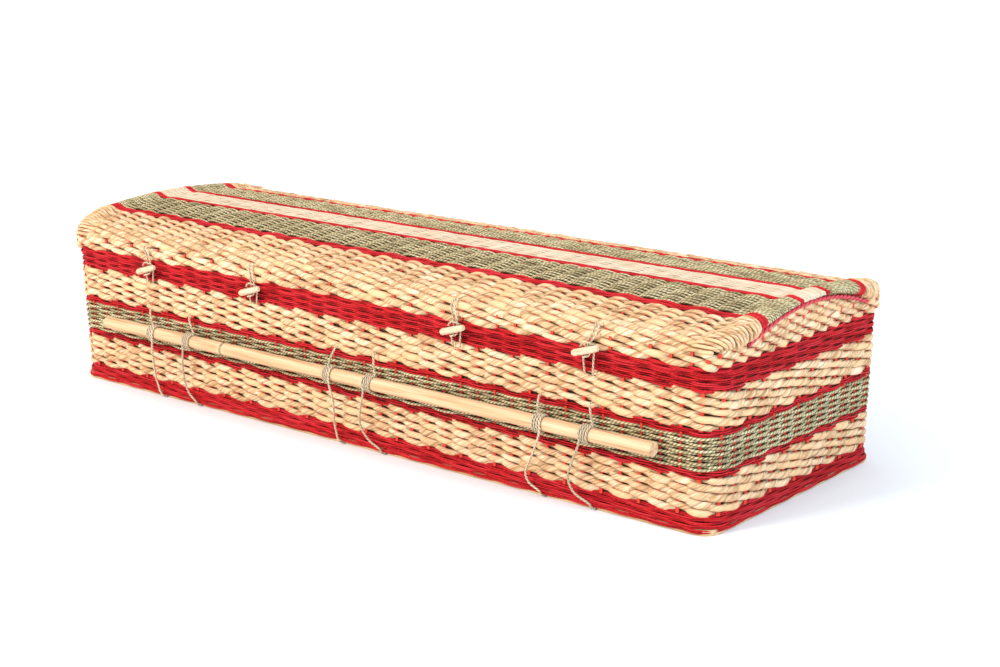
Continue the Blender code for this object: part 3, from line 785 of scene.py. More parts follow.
def tight_count(way: float) -> float:
    """Count the stakes passed on the way round the lid, which has more of them along both ends."""
    end = END_RUN / SPACING
    shares = [max(0.0, min(1.0, (way - start) / end)) for start in (0.0, STAKES / 2, STAKES)]
    return plain_count(way) + END_STAKES * sum(shares)


def tight_ways() -> list[float]:
    """Return where the stakes of the lid's ring stand, in plain spacings round it."""
    fineness = 200
    ways = [step / fineness for step in range(STAKES * fineness + 1)]
    return [after for before, after in zip(ways, ways[1:])
            if math.floor(tight_count(after)) > math.floor(tight_count(before))]


def ring_places(plan_at: Callable[[float], Plan], height: float, samples: int,
                count: Callable[[float], float]) -> list[Place]:
    """Places of a closed ring at one height, some for each spacing of the stakes."""
    plan = plan_at(height)
    places = []
    for index in range(STAKES * samples):
        way = index / samples + 0.5
        point, out = plan.at(way / STAKES)
        places.append(Place(point + UP * height, out, UP, count(way), 0.0))
    return places


def ring_rows(plan_at: Callable[[float], Plan], low: float, high: float, rows: int, cords: int,
              weave: Weave, count: Callable[[float], float]) -> Strands:
    """Weave the closed rings of one band.

    Args:
        plan_at: Plan of the wall at a height.
        low: Height of the band's lower edge.
        high: Height of its upper edge.
        rows: Rows of the band.
        cords: Cords that lie side by side in each row.
        weave: How the strands pass the stakes.
        count: Counts the stakes passed on the way round.

    Returns:
        The band's strands.
    """
    strands = Strands()
    pitch = (high - low) / rows
    around = round(count(STAKES) - count(0.0))
    for row in range(rows):
        height = low + pitch * (row + 0.5)
        places = ring_places(plan_at, height, weave.samples, count)
        for cord in range(cords):
            offset = (cord - (cords - 1) / 2) * pitch / cords
            seed = round(height * 1e5) + 7 * cord
            strands.add(weave.stations(places, row, seed, offset, around))
    return strands


def upright_stake(plan_at: Callable[[float], Plan], share: float, low: float, high: float, depth: float,
                  girth: float) -> list[Station]:
    """Stand a stake behind the rows of a ring.

    Args:
        plan_at: Plan of the wall at a height.
        share: Share of the way round.
        low: Height of its foot.
        high: Height of its top.
        depth: Place of its middle, measured outward from the wall.
        girth: Half of its width.

    Returns:
        The stake's two stations.
    """
    stations = []
    for height in (low, high):
        point, out = plan_at(height).at(share)
        centre = point + out * depth + UP * height
        stations.append(Station(centre, out, out.cross(UP), girth, STAKE_HALF_DEPTH, 0.0, height, STAKE_TINT))
    return stations


def ring_shell(name: str, plan_at: Callable[[float], Plan], low: float, high: float, outer: float,
               inner: float, palette: Palette) -> Object:
    """Closed wall ring that stands behind the strands, lined inside; its dark outside is painted shade."""
    form = bmesh.new()
    corners = 96
    loops = []
    for height, stand in ((low, inner), (low, outer), (high, outer), (high, inner)):
        plan = plan_at(height)
        loop = []
        for index in range(corners):
            point, out = plan.at(index / corners)
            loop.append(form.verts.new(point + out * stand + UP * height))
        loops.append(loop)
    for first, second in zip(loops, loops[1:] + loops[:1]):
        for index in range(corners):
            after = (index + 1) % corners
            face = form.faces.new((first[index], first[after], second[after], second[index]))
            face.material_index = int(first is loops[-1])
    item = finish_form(name, form, palette.get(PAINTED_SHADE_WALL))
    item.data.materials.append(palette.get(LINING))
    return item


def finish_form(name: str, form: bmesh.types.BMesh, material: Material) -> Object:
    """Turn a bmesh into an object whose faces point out and whose keener edges stay sharp."""
    smooth_angle = 35.0
    bmesh.ops.recalc_face_normals(form, faces=form.faces)
    mesh = bpy.data.meshes.new(name)
    form.to_mesh(mesh)
    form.free()
    mesh.materials.append(material)
    mesh.shade_smooth()
    mesh.set_sharp_from_angle(angle=math.radians(smooth_angle))
    item = bpy.data.objects.new(name, mesh)
    bpy.context.collection.objects.link(item)
    return item


def report(item: Object, slot: str, *nodes: str) -> None:
    """Let a piece ride on the coffin, hide the solids it stands for, and log it."""
    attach(item, "root")
    if nodes:
        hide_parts(*nodes)
    faces = sum(len(polygon.vertices) - 2 for polygon in item.data.polygons)
    log.info("%s: %d triangles", item.name, faces)


@dataclass(frozen=True)
class Loom:
    """Turns strands into finished pieces of the coffin."""

    sweep: Sweep
    palette: Palette

    def piece(self, name: str, strands: Strands, yarn: Yarn, *nodes: str, closed: bool = False) -> Object:
        """Make one piece of strands and let it stand for its solids.

        Args:
            name: Name of the piece.
            strands: The strands' stations.
            yarn: Kind of strand.
            nodes: Solids that the piece replaces.
            closed: True where every strand is a closed ring.

        Returns:
            The piece.
        """
        item = self.sweep.piece(name, strands, self.palette.get(yarn.finish), yarn, closed)
        report(item, yarn.slot, *nodes)
        return item

    def ring(self, name: str, low: float, high: float, rows: int, weave: Weave, yarn: Yarn,
             plan_at: Callable[[float], Plan] = base_plan,
             count: Callable[[float], float] = plain_count) -> None:
        """Weave one band of closed rings and let it stand for its solid.

        Args:
            name: Name of the band's solid.
            low: Height of the band's lower edge.
            high: Height of its upper edge.
            rows: Rows of the band.
            weave: How the strands pass the stakes.
            yarn: Kind of strand.
            plan_at: Plan of the wall at a height.
            count: Counts the stakes passed on the way round.
        """
        strands = ring_rows(plan_at, low, high, rows, yarn.cords, weave, count)
        self.piece(name + "_weave", strands, yarn, name, closed=True)


@dataclass
class Basket:
    """Woven basket on its board. Sizes are in metres, heights from the floor."""

    loom: Loom
    board_top: float = 0.012
    plinth_foot: float = 0.0052
    plinth_top: float = 0.041
    lower_leaf_top: float = 0.115
    lower_pair_top: float = 0.131
    seagrass_top: float = 0.202
    upper_pair_top: float = 0.2175
    upper_leaf_top: float = 0.2925
    top: float = 0.3265
    leaf_rows: int = 8
    seagrass_rows: int = 11
    stake_lap: float = 0.004
    leaf_stake: tuple[float, float] = (-0.0060, 0.0055)
    seagrass_stake: tuple[float, float] = (-0.0078, 0.0044)
    shell_outer: float = -0.0100
    shell_inner: float = -0.0158

    def stakes(self) -> None:
        """Red-wrapped stakes that show between the rows, each band's with its own depth and girth."""
        strands = Strands()
        shown = ((self.plinth_top, self.lower_leaf_top, self.leaf_stake),
                 (self.lower_pair_top, self.seagrass_top, self.seagrass_stake),
                 (self.upper_pair_top, self.upper_leaf_top, self.leaf_stake))
        for number in range(STAKES):
            for low, high, size in shown:
                strands.add(upright_stake(base_plan, (number + 0.5) / STAKES, low - self.stake_lap,
                                          high + self.stake_lap, *size))
        self.loom.piece("base_stakes", strands, STAKE_YARN)

    def dress(self) -> None:
        """Make every band, the stakes, the inner wall and the board's finish."""
        bands = (
            ("band_red_plinth", self.plinth_foot, self.plinth_top, 5, PLINTH_WEAVE, RED_YARN, plinth_plan),
            ("band_leaf_lower", self.plinth_top, self.lower_leaf_top, self.leaf_rows, LEAF_WEAVE,
             LEAF_YARN),
            ("band_red_lower", self.lower_leaf_top, self.lower_pair_top, 2, CORD_WEAVE, RED_YARN),
            ("band_seagrass", self.lower_pair_top, self.seagrass_top, self.seagrass_rows, SEAGRASS_WEAVE,
             SEAGRASS_YARN),
            ("band_red_upper", self.seagrass_top, self.upper_pair_top, 2, CORD_WEAVE, RED_YARN),
            ("band_leaf_upper", self.upper_pair_top, self.upper_leaf_top, self.leaf_rows, LEAF_WEAVE,
             LEAF_YARN),
            ("band_red_rim", self.upper_leaf_top, self.top, 5, CORD_WEAVE, RED_YARN),
        )
        for band in bands:
            self.loom.ring(*band)
        self.stakes()
        core = ring_shell("basket_inner_wall", base_plan, self.board_top + 0.0004, self.top - 0.001,
                          self.shell_outer, self.shell_inner, self.loom.palette)
        report(core, "leaf")
        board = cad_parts["base_board"]
        board.data.materials.clear()
        board.data.materials.append(self.loom.palette.get(PLYWOOD))


DIP = -0.004
FOLD = ((0.958, 1.0), (0.978, 1.0), (0.991, 0.80), (0.9955, 0.48), (0.991, 0.18), (0.980, -0.02))
CROWN = ((0.966, 0.0034), (0.953, 0.0020), (0.942, -0.0042), (0.930, -0.0066), (0.912, -0.0044))
FLAT_END = 0.895
CALM_START, CALM_RUN = 0.922, 0.028
EASE = 2.5


def walked(points: Sequence[Sequence[float]]) -> list[float]:
    """Return the distance walked along a line at each of its points."""
    lengths = [0.0]
    for here, there in zip(points, points[1:]):
        lengths.append(lengths[-1] + math.dist(here, there))
    return lengths


def stretch_at(lengths: Sequence[float], target: float) -> tuple[int, float]:
    """Find where a distance lies on a line.

    Args:
        lengths: Distance walked at each point of the line.
        target: The distance to find.

    Returns:
        The number of the stretch that holds it, and the share of that stretch that lies behind.
    """
    index = min(max(bisect_left(lengths, target) - 1, 0), len(lengths) - 2)
    return index, (target - lengths[index]) / (lengths[index + 1] - lengths[index])


@dataclass(frozen=True)
class LidLine:
    """Lengthwise line on the lid, with its rolled ends.

    The fold's points are distances from the middle with shares of the foot, which the roll hangs down, and
    the crown's are distances with heights above the camber.
    """

    top: Vector
    down: Vector
    inset: float
    foot: float

    def outline(self) -> list[tuple[float, float]]:
        """Return the line as (distance from the middle, height above its top), left end to right end."""
        end = [(x - self.inset, -self.foot * share) for x, share in FOLD]
        end += [(x - self.inset, z) for x, z in CROWN]
        end.append((FLAT_END - self.inset, DIP))
        rounded = smooth_curve([Vector((x, z, 0.0)) for x, z in end], 5)
        left = [(-point.x, point.y) for point in rounded]
        steps = 60
        reach = end[-1][0]
        middle = [(reach * (2 * step / steps - 1), DIP) for step in range(1, steps)]
        return left + middle + [(-x, z) for x, z in reversed(left)]

    def places(self, step: float) -> list[Place]:
        """Return places about a step apart, from the left fold to the right fold."""
        outline = self.outline()
        lengths = walked(outline)
        count = round(lengths[-1] / step)
        places = []
        for number in range(count + 1):
            target = lengths[-1] * number / count
            index, part = stretch_at(lengths, target)
            here, there = outline[index], outline[index + 1]
            x = here[0] + (there[0] - here[0]) * part
            z = here[1] + (there[1] - here[1]) * part
            ahead = Vector((there[0] - here[0], there[1] - here[1])) / (lengths[index + 1] - lengths[index])
            out = (ALONG * -ahead.y - self.down * ahead.x).normalized()
            along = (ALONG * ahead.x - self.down * ahead.y).normalized()
            point = Vector((x, self.top.y, self.top.z)) - self.down * z
            calm = smooth_step((abs(x) + self.inset - CALM_START) / CALM_RUN)
            middle = target - lengths[-1] / 2
            places.append(Place(point, out, out.cross(along), middle / SPACING + FIRST_SPACING, calm))
        return places


def smooth_step(share: float) -> float:
    """Return 0 below 0, 1 above 1 and a smooth rise between them."""
    share = max(0.0, min(1.0, share))
    return share * share * (3 - 2 * share)


def smooth_curve(route: Sequence[Vector], fineness: int = 16) -> list[Vector]:
    """Return points of a Catmull-Rom curve through a route."""
    points = [Vector(point) for point in route]
    padded = [2 * points[0] - points[1]] + points + [2 * points[-1] - points[-2]]
    samples = [points[0]]
    for index in range(1, len(padded) - 2):
        before, start, end, after = padded[index - 1:index + 3]
        for step in range(1, fineness + 1):
            share = step / fineness
            samples.append(0.5 * (2 * start + (end - before) * share
                                  + (2 * before - 5 * start + 4 * end - after) * share ** 2
                                  + (3 * start - before - 3 * end + after) * share ** 3))
    return samples


@dataclass
class Lid:
    """Cambered lid with rolled ends. Sizes are in metres, and a stake's size is its depth and its girth."""

    loom: Loom
    half_length: float = LID_HALF_LENGTH
    half_width: float = LID_HALF_WIDTH
    rim_low: float = 0.3268
    rim_top: float = 0.3435
    spring: float = LID_SPRING
    rise: float = LID_RISE
    wall: float = 0.014
    cream_edge: float = 0.0425
    inner_pair_edge: float = 0.0600
    seagrass_edge: float = 0.1810
    outer_pair_edge: float = 0.2043
    shoulder_rows: int = 14
    skirt_rows: int = 3
    panel_rows: int = 5
    panel_inset: float = 0.0015
    cord_x: float = 0.9817
    cord_crest: float = 0.4200
    cord_bow: float = 0.80
    cord_reach: float = 0.235
    cord_radius: float = 0.0045
    cord_girth: float = 0.0050
    stripe_sway: float = 0.0032
    seagrass_sway: float = 0.0020
    side_stake: tuple[float, float] = (-0.0060, 0.0048)
    end_stake: tuple[float, float] = (-0.0084, 0.0036)
    long_stake: tuple[float, float] = (DIP - 0.0038, 0.0052)
    stake_spans: tuple[tuple[int, int], ...] = ((6, 51), (129, 174))
    stake_reach: float = 0.925
    shell_outer: float = -0.0096
    shell_inner: float = -0.0138

    def cord_height(self, y: float) -> float:
        """Height of the twisted cord across each end."""
        return self.cord_crest - self.cord_bow * y * y

    def camber(self, angle: float) -> tuple[float, float]:
        """Return (y, z) on the camber, angle measured from the front spring line."""
        return -self.half_width * math.cos(angle), self.spring + self.rise * math.sin(angle)

    def line(self, y: float, z: float, tilt: float) -> LidLine:
        """Return the lengthwise line through a point of the camber.

        Args:
            y: Distance from the centre line.
            z: Height of the camber there.
            tilt: How far the way into the lid leans towards its middle.

        Returns:
            The line with its fold.
        """
        down = Vector((0.0, math.sin(tilt) * (1 if y < 0 else -1), -math.cos(tilt)))
        past = max(0.0, abs(y) - self.outer_pair_edge) / (self.half_width - self.outer_pair_edge)
        inset = LID_CORNER * min(past, 1.0) ** EASE
        depth = self.wall
        for _ in range(4):
            foot_y = abs(y) - math.sin(tilt) * depth
            seat = max(self.cord_height(foot_y) + self.cord_radius + 0.001, self.spring)
            depth = max(self.wall, (z - seat) / max(math.cos(tilt), 0.35))
        return LidLine(Vector((0.0, y, z)), down, inset, depth)

    def flat_line(self, y: float) -> LidLine:
        """Return the line at a distance from the centre line."""
        return self.line(y, self.camber(math.acos(-y / self.half_width))[1], 0.0)

    def shoulder_line(self, share: float, side: int) -> LidLine:
        """Return a line of the shoulder: share 0 is at the outer red pair and 1 at the spring line."""
        start = math.acos(self.outer_pair_edge / self.half_width)
        samples = 80
        arc = [self.camber(start * (1 - step / samples)) for step in range(samples + 1)]
        lengths = walked(arc)
        index, part = stretch_at(lengths, share * lengths[-1])
        y = arc[index][0] + (arc[index + 1][0] - arc[index][0]) * part
        z = arc[index][1] + (arc[index + 1][1] - arc[index][1]) * part
        return self.line(-side * y, z, math.pi / 2 * share ** EASE)

    def stripe(self, name: str, low: float, high: float, rows: int, weave: Weave, yarn: Yarn,
               sway: float) -> None:
        """Weave one flat stripe of lengthwise strands.

        Args:
            name: Name of the stripe's solid.
            low: Place of one edge across the lid.
            high: Place of the other edge.
            rows: Rows of the stripe.
            weave: How the strands pass the stakes.
            yarn: Kind of strand.
            sway: How far the rows sway sideways between the stakes.
        """
        strands = Strands()
        pitch = (high - low) / rows
        for row in range(rows):
            y = low + pitch * (row + 0.5)
            places = self.flat_line(y).places(SPACING / weave.samples)
            for cord in range(yarn.cords):
                offset = (cord - (yarn.cords - 1) / 2) * pitch / yarn.cords
                seed = 7000 + round(y * 1e4) + 7 * cord
                strands.add(weave.stations(places, row, seed, offset, sway=sway))
        self.loom.piece(name + "_weave", strands, yarn, name)

    def shoulders(self) -> None:
        """Weave the leaf rows over both shoulders."""
        for side, label in ((-1, "front"), (1, "back")):
            strands = Strands()
            for row in range(self.shoulder_rows):
                line = self.shoulder_line((row + 0.5) / self.shoulder_rows, side)
                places = line.places(SPACING / SHOULDER_WEAVE.samples)
                strands.add(SHOULDER_WEAVE.stations(places, row, 8000 + 100 * side + row))
            name = f"lid_leaf_{label}"
            self.loom.piece(name + "_weave", strands, LEAF_YARN, name)

    def end_panels(self) -> None:
        """Leaf rows that fill each end below the twisted cord."""
        strands = Strands()
        pitch = (self.spring - self.rim_top) / self.skirt_rows
        for side in (1, -1):
            for row in range(self.panel_rows):
                height = self.spring + pitch * (row + 0.4)
                reach = math.sqrt(max(self.cord_crest - height, 0.0) / self.cord_bow)
                steps = round(2 * reach / (SPACING / 12))
                places = []
                for step in range(steps + 1):
                    y = side * reach * (2 * step / steps - 1)
                    point = Vector((side * (self.half_length - self.panel_inset), y, height))
                    way = (END_RUN / 2 + side * y) / SPACING + (0 if side > 0 else STAKES / 2)
                    places.append(Place(point, ALONG * side, UP, tight_count(way) + FIRST_SPACING, 0.0))
                strands.add(PANEL_WEAVE.stations(places, row + 1, 9000 + side * 10 + row))
        self.loom.piece("lid_end_rows", strands, LEAF_YARN)

    def end_cords(self) -> None:
        """Twisted red cord along the foot of each roll."""
        steps = 160
        for side, label in ((1, "right"), (-1, "left")):
            stations = []
            for step in range(steps + 1):
                y = side * self.cord_reach * (2 * step / steps - 1)
                slope = -2 * self.cord_bow * y * side
                along = Vector((0.0, side, slope)).normalized()
                out = ALONG * side
                distance = 2 * self.cord_reach * step / steps
                centre = Vector((side * self.cord_x, y, self.cord_height(y)))
                stations.append(Station(centre, out, out.cross(along), self.cord_girth, self.cord_girth,
                                        -math.tau * distance / END_CORD_LAY, distance, 0.8))
            name = f"lid_end_cord_{label}"
            self.loom.piece(name + "_twist", Strands([stations]), END_CORD_YARN, name)

    def long_stake_stations(self, x: float, start: float, end: float) -> list[Station]:
        """Lay a stake across the camber at a distance from the middle, between two angles in degrees."""
        depth, girth = self.long_stake
        steps = 6
        stations = []
        for step in range(steps + 1):
            angle = math.radians(start + (end - start) * step / steps)
            y, z = self.camber(angle)
            normal = Vector((0.0, -math.cos(angle) * self.rise, math.sin(angle) * self.half_width))
            normal.normalize()
            ahead = Vector((0.0, normal.z, -normal.y))
            stations.append(Station(Vector((x, y, z)) + normal * depth, normal, normal.cross(ahead), girth,
                                    STAKE_HALF_DEPTH, 0.0, step * 0.02, STAKE_TINT))
        return stations

    def stakes(self) -> None:
        """Red-wrapped stakes: short uprights round the rim and long ones across the shoulders."""
        strands = Strands()
        for way in tight_ways():
            point, out = lid_plan(self.spring).at(way / STAKES)
            top, size = self.spring, self.side_stake
            if abs(out.x) > 0.99:
                top, size = max(top, self.cord_height(point.y) - 0.006), self.end_stake
            strands.add(upright_stake(lid_plan, way / STAKES, self.rim_top + 0.003, top, *size))
        across = int(self.stake_reach / SPACING)
        for number in range(-across, across + 1):
            for span in self.stake_spans:
                strands.add(self.long_stake_stations(number * SPACING, *span))
        self.loom.piece("lid_stakes", strands, STAKE_YARN)

    def arch(self, form: bmesh.types.BMesh) -> None:
        """Add the closed wall behind the strands of the camber, lined inside."""
        outer, inner = 0.0125, 0.0170
        first, span = math.radians(10), math.radians(160)
        reach = self.half_length - 0.020
        steps = 40
        loops = []
        for x in (-reach, reach):
            loop = []
            for depth, order in ((outer, range(steps + 1)), (inner, range(steps, -1, -1))):
                for step in order:
                    y, z = self.camber(first + span * step / steps)
                    share = 1 - depth / self.half_width
                    loop.append(form.verts.new((x, y * share, z - depth)))
            loops.append(loop)
        count = len(loops[0])
        for index in range(count):
            after = (index + 1) % count
            face = form.faces.new((loops[0][index], loops[0][after], loops[1][after], loops[1][index]))
            face.material_index = int(index > steps)
        for loop in loops:
            for index in range(steps):
                corners = (index, index + 1, count - 2 - index, count - 1 - index)
                form.faces.new([loop[corner] for corner in corners])

    def end_wall(self, form: bmesh.types.BMesh, side: int) -> None:
        """Add the wall behind the strands of one end, under the twisted cord."""
        back = self.half_length - 0.021
        thickness, foot_reach, top_reach = 0.007, 0.30, 0.25
        foot = self.spring - 0.012
        steps = 16
        faces = []
        for x in (back, back + thickness):
            outline = [form.verts.new((side * x, y, foot)) for y in (foot_reach, -foot_reach)]
            for step in range(steps + 1):
                y = top_reach * (2 * step / steps - 1)
                outline.append(form.verts.new((side * x, y, self.cord_height(y) - 0.001)))
            faces.append(outline)
        for index in range(len(faces[0])):
            after = (index + 1) % len(faces[0])
            form.faces.new((faces[0][index], faces[0][after], faces[1][after], faces[1][index]))
        for outline in faces:
            form.faces.new(outline)

    def inner_wall(self) -> None:
        """Shell behind the strands: the arch of the camber, its two ends and the ring of the sides."""
        palette = self.loom.palette
        form = bmesh.new()
        self.arch(form)
        for side in (1, -1):
            self.end_wall(form, side)
        # the shell's dark outside is painted shade seen through the gaps
        item = finish_form("lid_inner_shell", form, palette.get(PAINTED_SHADE_WALL))
        item.data.materials.append(palette.get(LINING))
        report(item, "leaf")
        parting = self.rim_top + 0.004
        rings = (("lid_inner_rim", rim_plan, self.rim_low + 0.0004, parting),
                 ("lid_inner_skirt", lid_plan, parting, self.spring))
        for ring in rings:
            report(ring_shell(*ring, self.shell_outer, self.shell_inner, palette), "leaf")

    def dress(self) -> None:
        """Make every band and stripe, both ends, the stakes and the inner wall."""
        self.loom.ring("lid_red_rim", self.rim_low, self.rim_top, 3, CORD_WEAVE, RED_YARN, rim_plan)
        self.loom.ring("lid_leaf_skirt", self.rim_top, self.spring, self.skirt_rows, SKIRT_WEAVE, LEAF_YARN,
                       lid_plan, tight_count)
        self.shoulders()
        self.stripe("lid_cream", -self.cream_edge, self.cream_edge, 12, CREAM_WEAVE, CREAM_YARN,
                    self.stripe_sway)
        stripes = (
            ("lid_red_inner", self.cream_edge, self.inner_pair_edge, 2, LID_CORD_WEAVE, RED_YARN,
             self.stripe_sway),
            ("lid_seagrass", self.inner_pair_edge, self.seagrass_edge, 18, SEAGRASS_WEAVE, SEAGRASS_YARN,
             self.seagrass_sway),
            ("lid_red_outer", self.seagrass_edge, self.outer_pair_edge, 3, LID_CORD_WEAVE, RED_YARN,
             self.stripe_sway),
        )
        for side, label in ((-1, "front"), (1, "back")):
            for name, near, far, *rest in stripes:
                low, high = sorted((side * near, side * far))
                self.stripe(f"{name}_{label}", low, high, *rest)
        self.end_panels()
        self.end_cords()
        self.stakes()
        self.inner_wall()


@dataclass(frozen=True)
class FreeCord:
    """Natural two-ply cord that hangs free. Sizes are in metres."""

    name: str
    route: tuple[Vector, ...]
    radius: float

    def centreline(self, step: float) -> list[Vector]:
        """Return points about a step apart on the smooth curve through the route."""
        samples = smooth_curve(self.route)
        lengths = walked(samples)
        count = max(2, round(lengths[-1] / step))
        points = []
        for number in range(count + 1):
            index, part = stretch_at(lengths, lengths[-1] * number / count)
            points.append(samples[index].lerp(samples[index + 1], part))
        return points

    def dress(self, loom: Loom) -> None:
        points = self.centreline(self.radius * 0.9)
        side = UP
        stations = []
        distance = 0.0
        for index, point in enumerate(points):
            before = points[max(0, index - 1)]
            after = points[min(len(points) - 1, index + 1)]
            ahead = (after - before).normalized()
            if index:
                distance += (point - points[index - 1]).length
            elif abs(ahead.z) > 0.9:
                side = ALONG
            side = (side - ahead * side.dot(ahead)).normalized()
            turn = -math.tau * distance / ROPE_LAY
            stations.append(Station(point, ahead.cross(side), side, self.radius, self.radius, turn, distance,
                                    tint=0.5))
        item = loom.piece(self.name + "_twist", Strands([stations]), ROPE_YARN, self.name)


class RopeStations(NamedTuple):
    """Stations of one handle rope along the front: name, (x, z) points and places along the pole."""

    name: str
    wall: tuple[float, float]
    first_turn: float
    way: int
    leg: tuple[tuple[float, float], ...]
    foot: float


ROPES = (
    RopeStations("1_left", (-0.667, 0.221), -0.652, 1,
                 ((-0.634, 0.149), (-0.645, 0.112), (-0.653, 0.058), (-0.650, 0.030)), -0.640),
    RopeStations("1_right", (-0.525, 0.223), -0.503, -1,
                 ((-0.522, 0.149), (-0.535, 0.112), (-0.545, 0.064), (-0.537, 0.031)), -0.512),
    RopeStations("2_left", (-0.035, 0.229), -0.051, 1,
                 ((-0.031, 0.149), (-0.029, 0.112), (-0.038, 0.058), (-0.038, 0.030)), -0.030),
    RopeStations("2_right", (0.084, 0.232), 0.092, -1,
                 ((0.074, 0.149), (0.055, 0.100), (0.045, 0.060), (0.062, 0.031)), 0.098),
    RopeStations("3_left", (0.549, 0.223), 0.551, 1,
                 ((0.570, 0.149), (0.548, 0.105), (0.519, 0.056), (0.521, 0.030)), 0.552),
    RopeStations("3_right", (0.680, 0.230), 0.692, -1,
                 ((0.672, 0.149), (0.648, 0.104), (0.629, 0.064), (0.640, 0.032)), 0.682),
)


@dataclass
class Handle:
    """Carrying pole with its six ropes, on one long side. Sizes are in metres."""

    loom: Loom
    side: Side
    pole_radius: float = 0.0152
    pole_y: float = -0.352
    pole_z: float = 0.168
    pole_start: float = -0.827
    pole_end: float = 0.845
    rope_radius: float = 0.00275
    coil_radius: float = 0.0184
    pitch: float = 0.0058
    turns: float = 3.5
    joints: tuple[float, ...] = (-0.394, 0.07, 0.56)
    exit_y: float = -0.3345
    board_edge: float = -0.3255
    leg_y: tuple[float, ...] = (-0.3690, -0.3600, -0.3480, -0.3420)

    def on_pole(self, x: float, degrees: float) -> tuple[float, float, float]:
        """Centre of a rope on the pole; 0 degrees faces the wall and 90 faces up."""
        angle = math.radians(degrees)
        return (x, self.pole_y + self.coil_radius * math.cos(angle),
                self.pole_z + self.coil_radius * math.sin(angle))

    def route(self, rope: RopeStations) -> list[tuple[float, float, float]]:
        """Return one rope's route: out of the wall, round the pole, down and under the board."""
        wall_x, wall_z = rope.wall
        last_turn = rope.first_turn + rope.way * self.pitch * self.turns
        route = [
            (wall_x, self.exit_y, wall_z),
            (wall_x, self.exit_y - 0.007, wall_z - 0.002),
            ((wall_x + rope.first_turn) / 2, self.exit_y - 0.0125, (wall_z + self.pole_z + 0.019) / 2),
            self.on_pole(rope.first_turn, 80),
        ]
        first, last = 108.0, 168.0 + 3 * 360.0
        steps = 40
        for step in range(steps + 1):
            share = step / steps
            x = rope.first_turn + (last_turn - rope.first_turn) * share
            route.append(self.on_pole(x, first + (last - first) * share))
        for (x, z), y in zip(rope.leg, self.leg_y):
            route.append((x, y, z))
        route += [
            (rope.foot - 0.005, -0.3415, 0.0160),
            (rope.foot, self.board_edge - 0.0125, 0.0068),
            (rope.foot, self.board_edge - 0.0040, 0.0034),
            (rope.foot, self.board_edge + 0.0045, 0.0042),
            (rope.foot, self.board_edge + 0.0120, 0.0042),
        ]
        return route

    def pole(self) -> None:
        """Peeled cane with its joints, a rounded left end and a cut right end."""
        draw = random.Random(31 + self.side.value)
        grid = 0.014
        cuts = [self.pole_start + 0.0001 + step * grid for step in range(120)]
        collars = [joint + shift for joint in self.joints for shift in (-0.004, -0.0018, 0.0, 0.0018, 0.004)]
        rounding = ((0.0, 0.40), (0.0015, 0.70), (0.005, 0.90), (0.010, 0.985))
        stations = []

        def add(x: float, share: float, tint: float) -> None:
            """Add a station with its share of the pole's radius."""
            radius = self.pole_radius * share
            centre = self.side.place((x, self.pole_y, self.pole_z))
            out = self.side.place((0.0, -1.0, 0.0))
            stations.append(Station(centre, out, UP, radius, radius, 0.0, x + 3, tint))

        for distance, share in rounding:
            add(self.pole_start + distance, share, 0.4)
        for x in sorted([x for x in cuts if self.pole_start + 0.012 < x < self.pole_end - 0.004] + collars):
            joint = min(abs(x - place) for place in self.joints)
            share = 0.995 + 0.010 * draw.uniform(-1, 1) + (0.050 if joint < 0.001 else 0.0)
            share -= 0.03 if 0.0015 < joint < 0.0045 else 0.0
            add(x, share, 0.95 if joint < 0.0045 else 0.45 + 0.12 * math.sin(3 * x))
        add(self.pole_end - 0.0006, 0.995, 0.4)
        add(self.pole_end, 0.965, 0.3)
        name = f"pole_{self.side.label}"
        self.loom.piece(name + "_cane", Strands([stations]), CANE_YARN, name)

    def dress(self) -> None:
        """Make the pole and its ropes."""
        self.pole()
        for rope in ROPES:
            route = tuple(self.side.place(point) for point in self.route(rope))
            FreeCord(f"rope_{self.side.label}_{rope.name}", route, self.rope_radius).dress(self.loom)


class TogglePlace(NamedTuple):
    """Where one toggle sits on the front: peg centre and start of the lid cord, as (x, z)."""

    name: str
    peg: tuple[float, float]
    start: tuple[float, float]


TOGGLES = (
    TogglePlace("1", (-0.665, 0.3230), (-0.676, 0.379)),
    TogglePlace("2", (-0.2995, 0.3225), (-0.304, 0.385)),
    TogglePlace("3", (0.3225, 0.3275), (0.317, 0.391)),
    TogglePlace("4", (0.6735, 0.3400), (0.688, 0.396)),
)


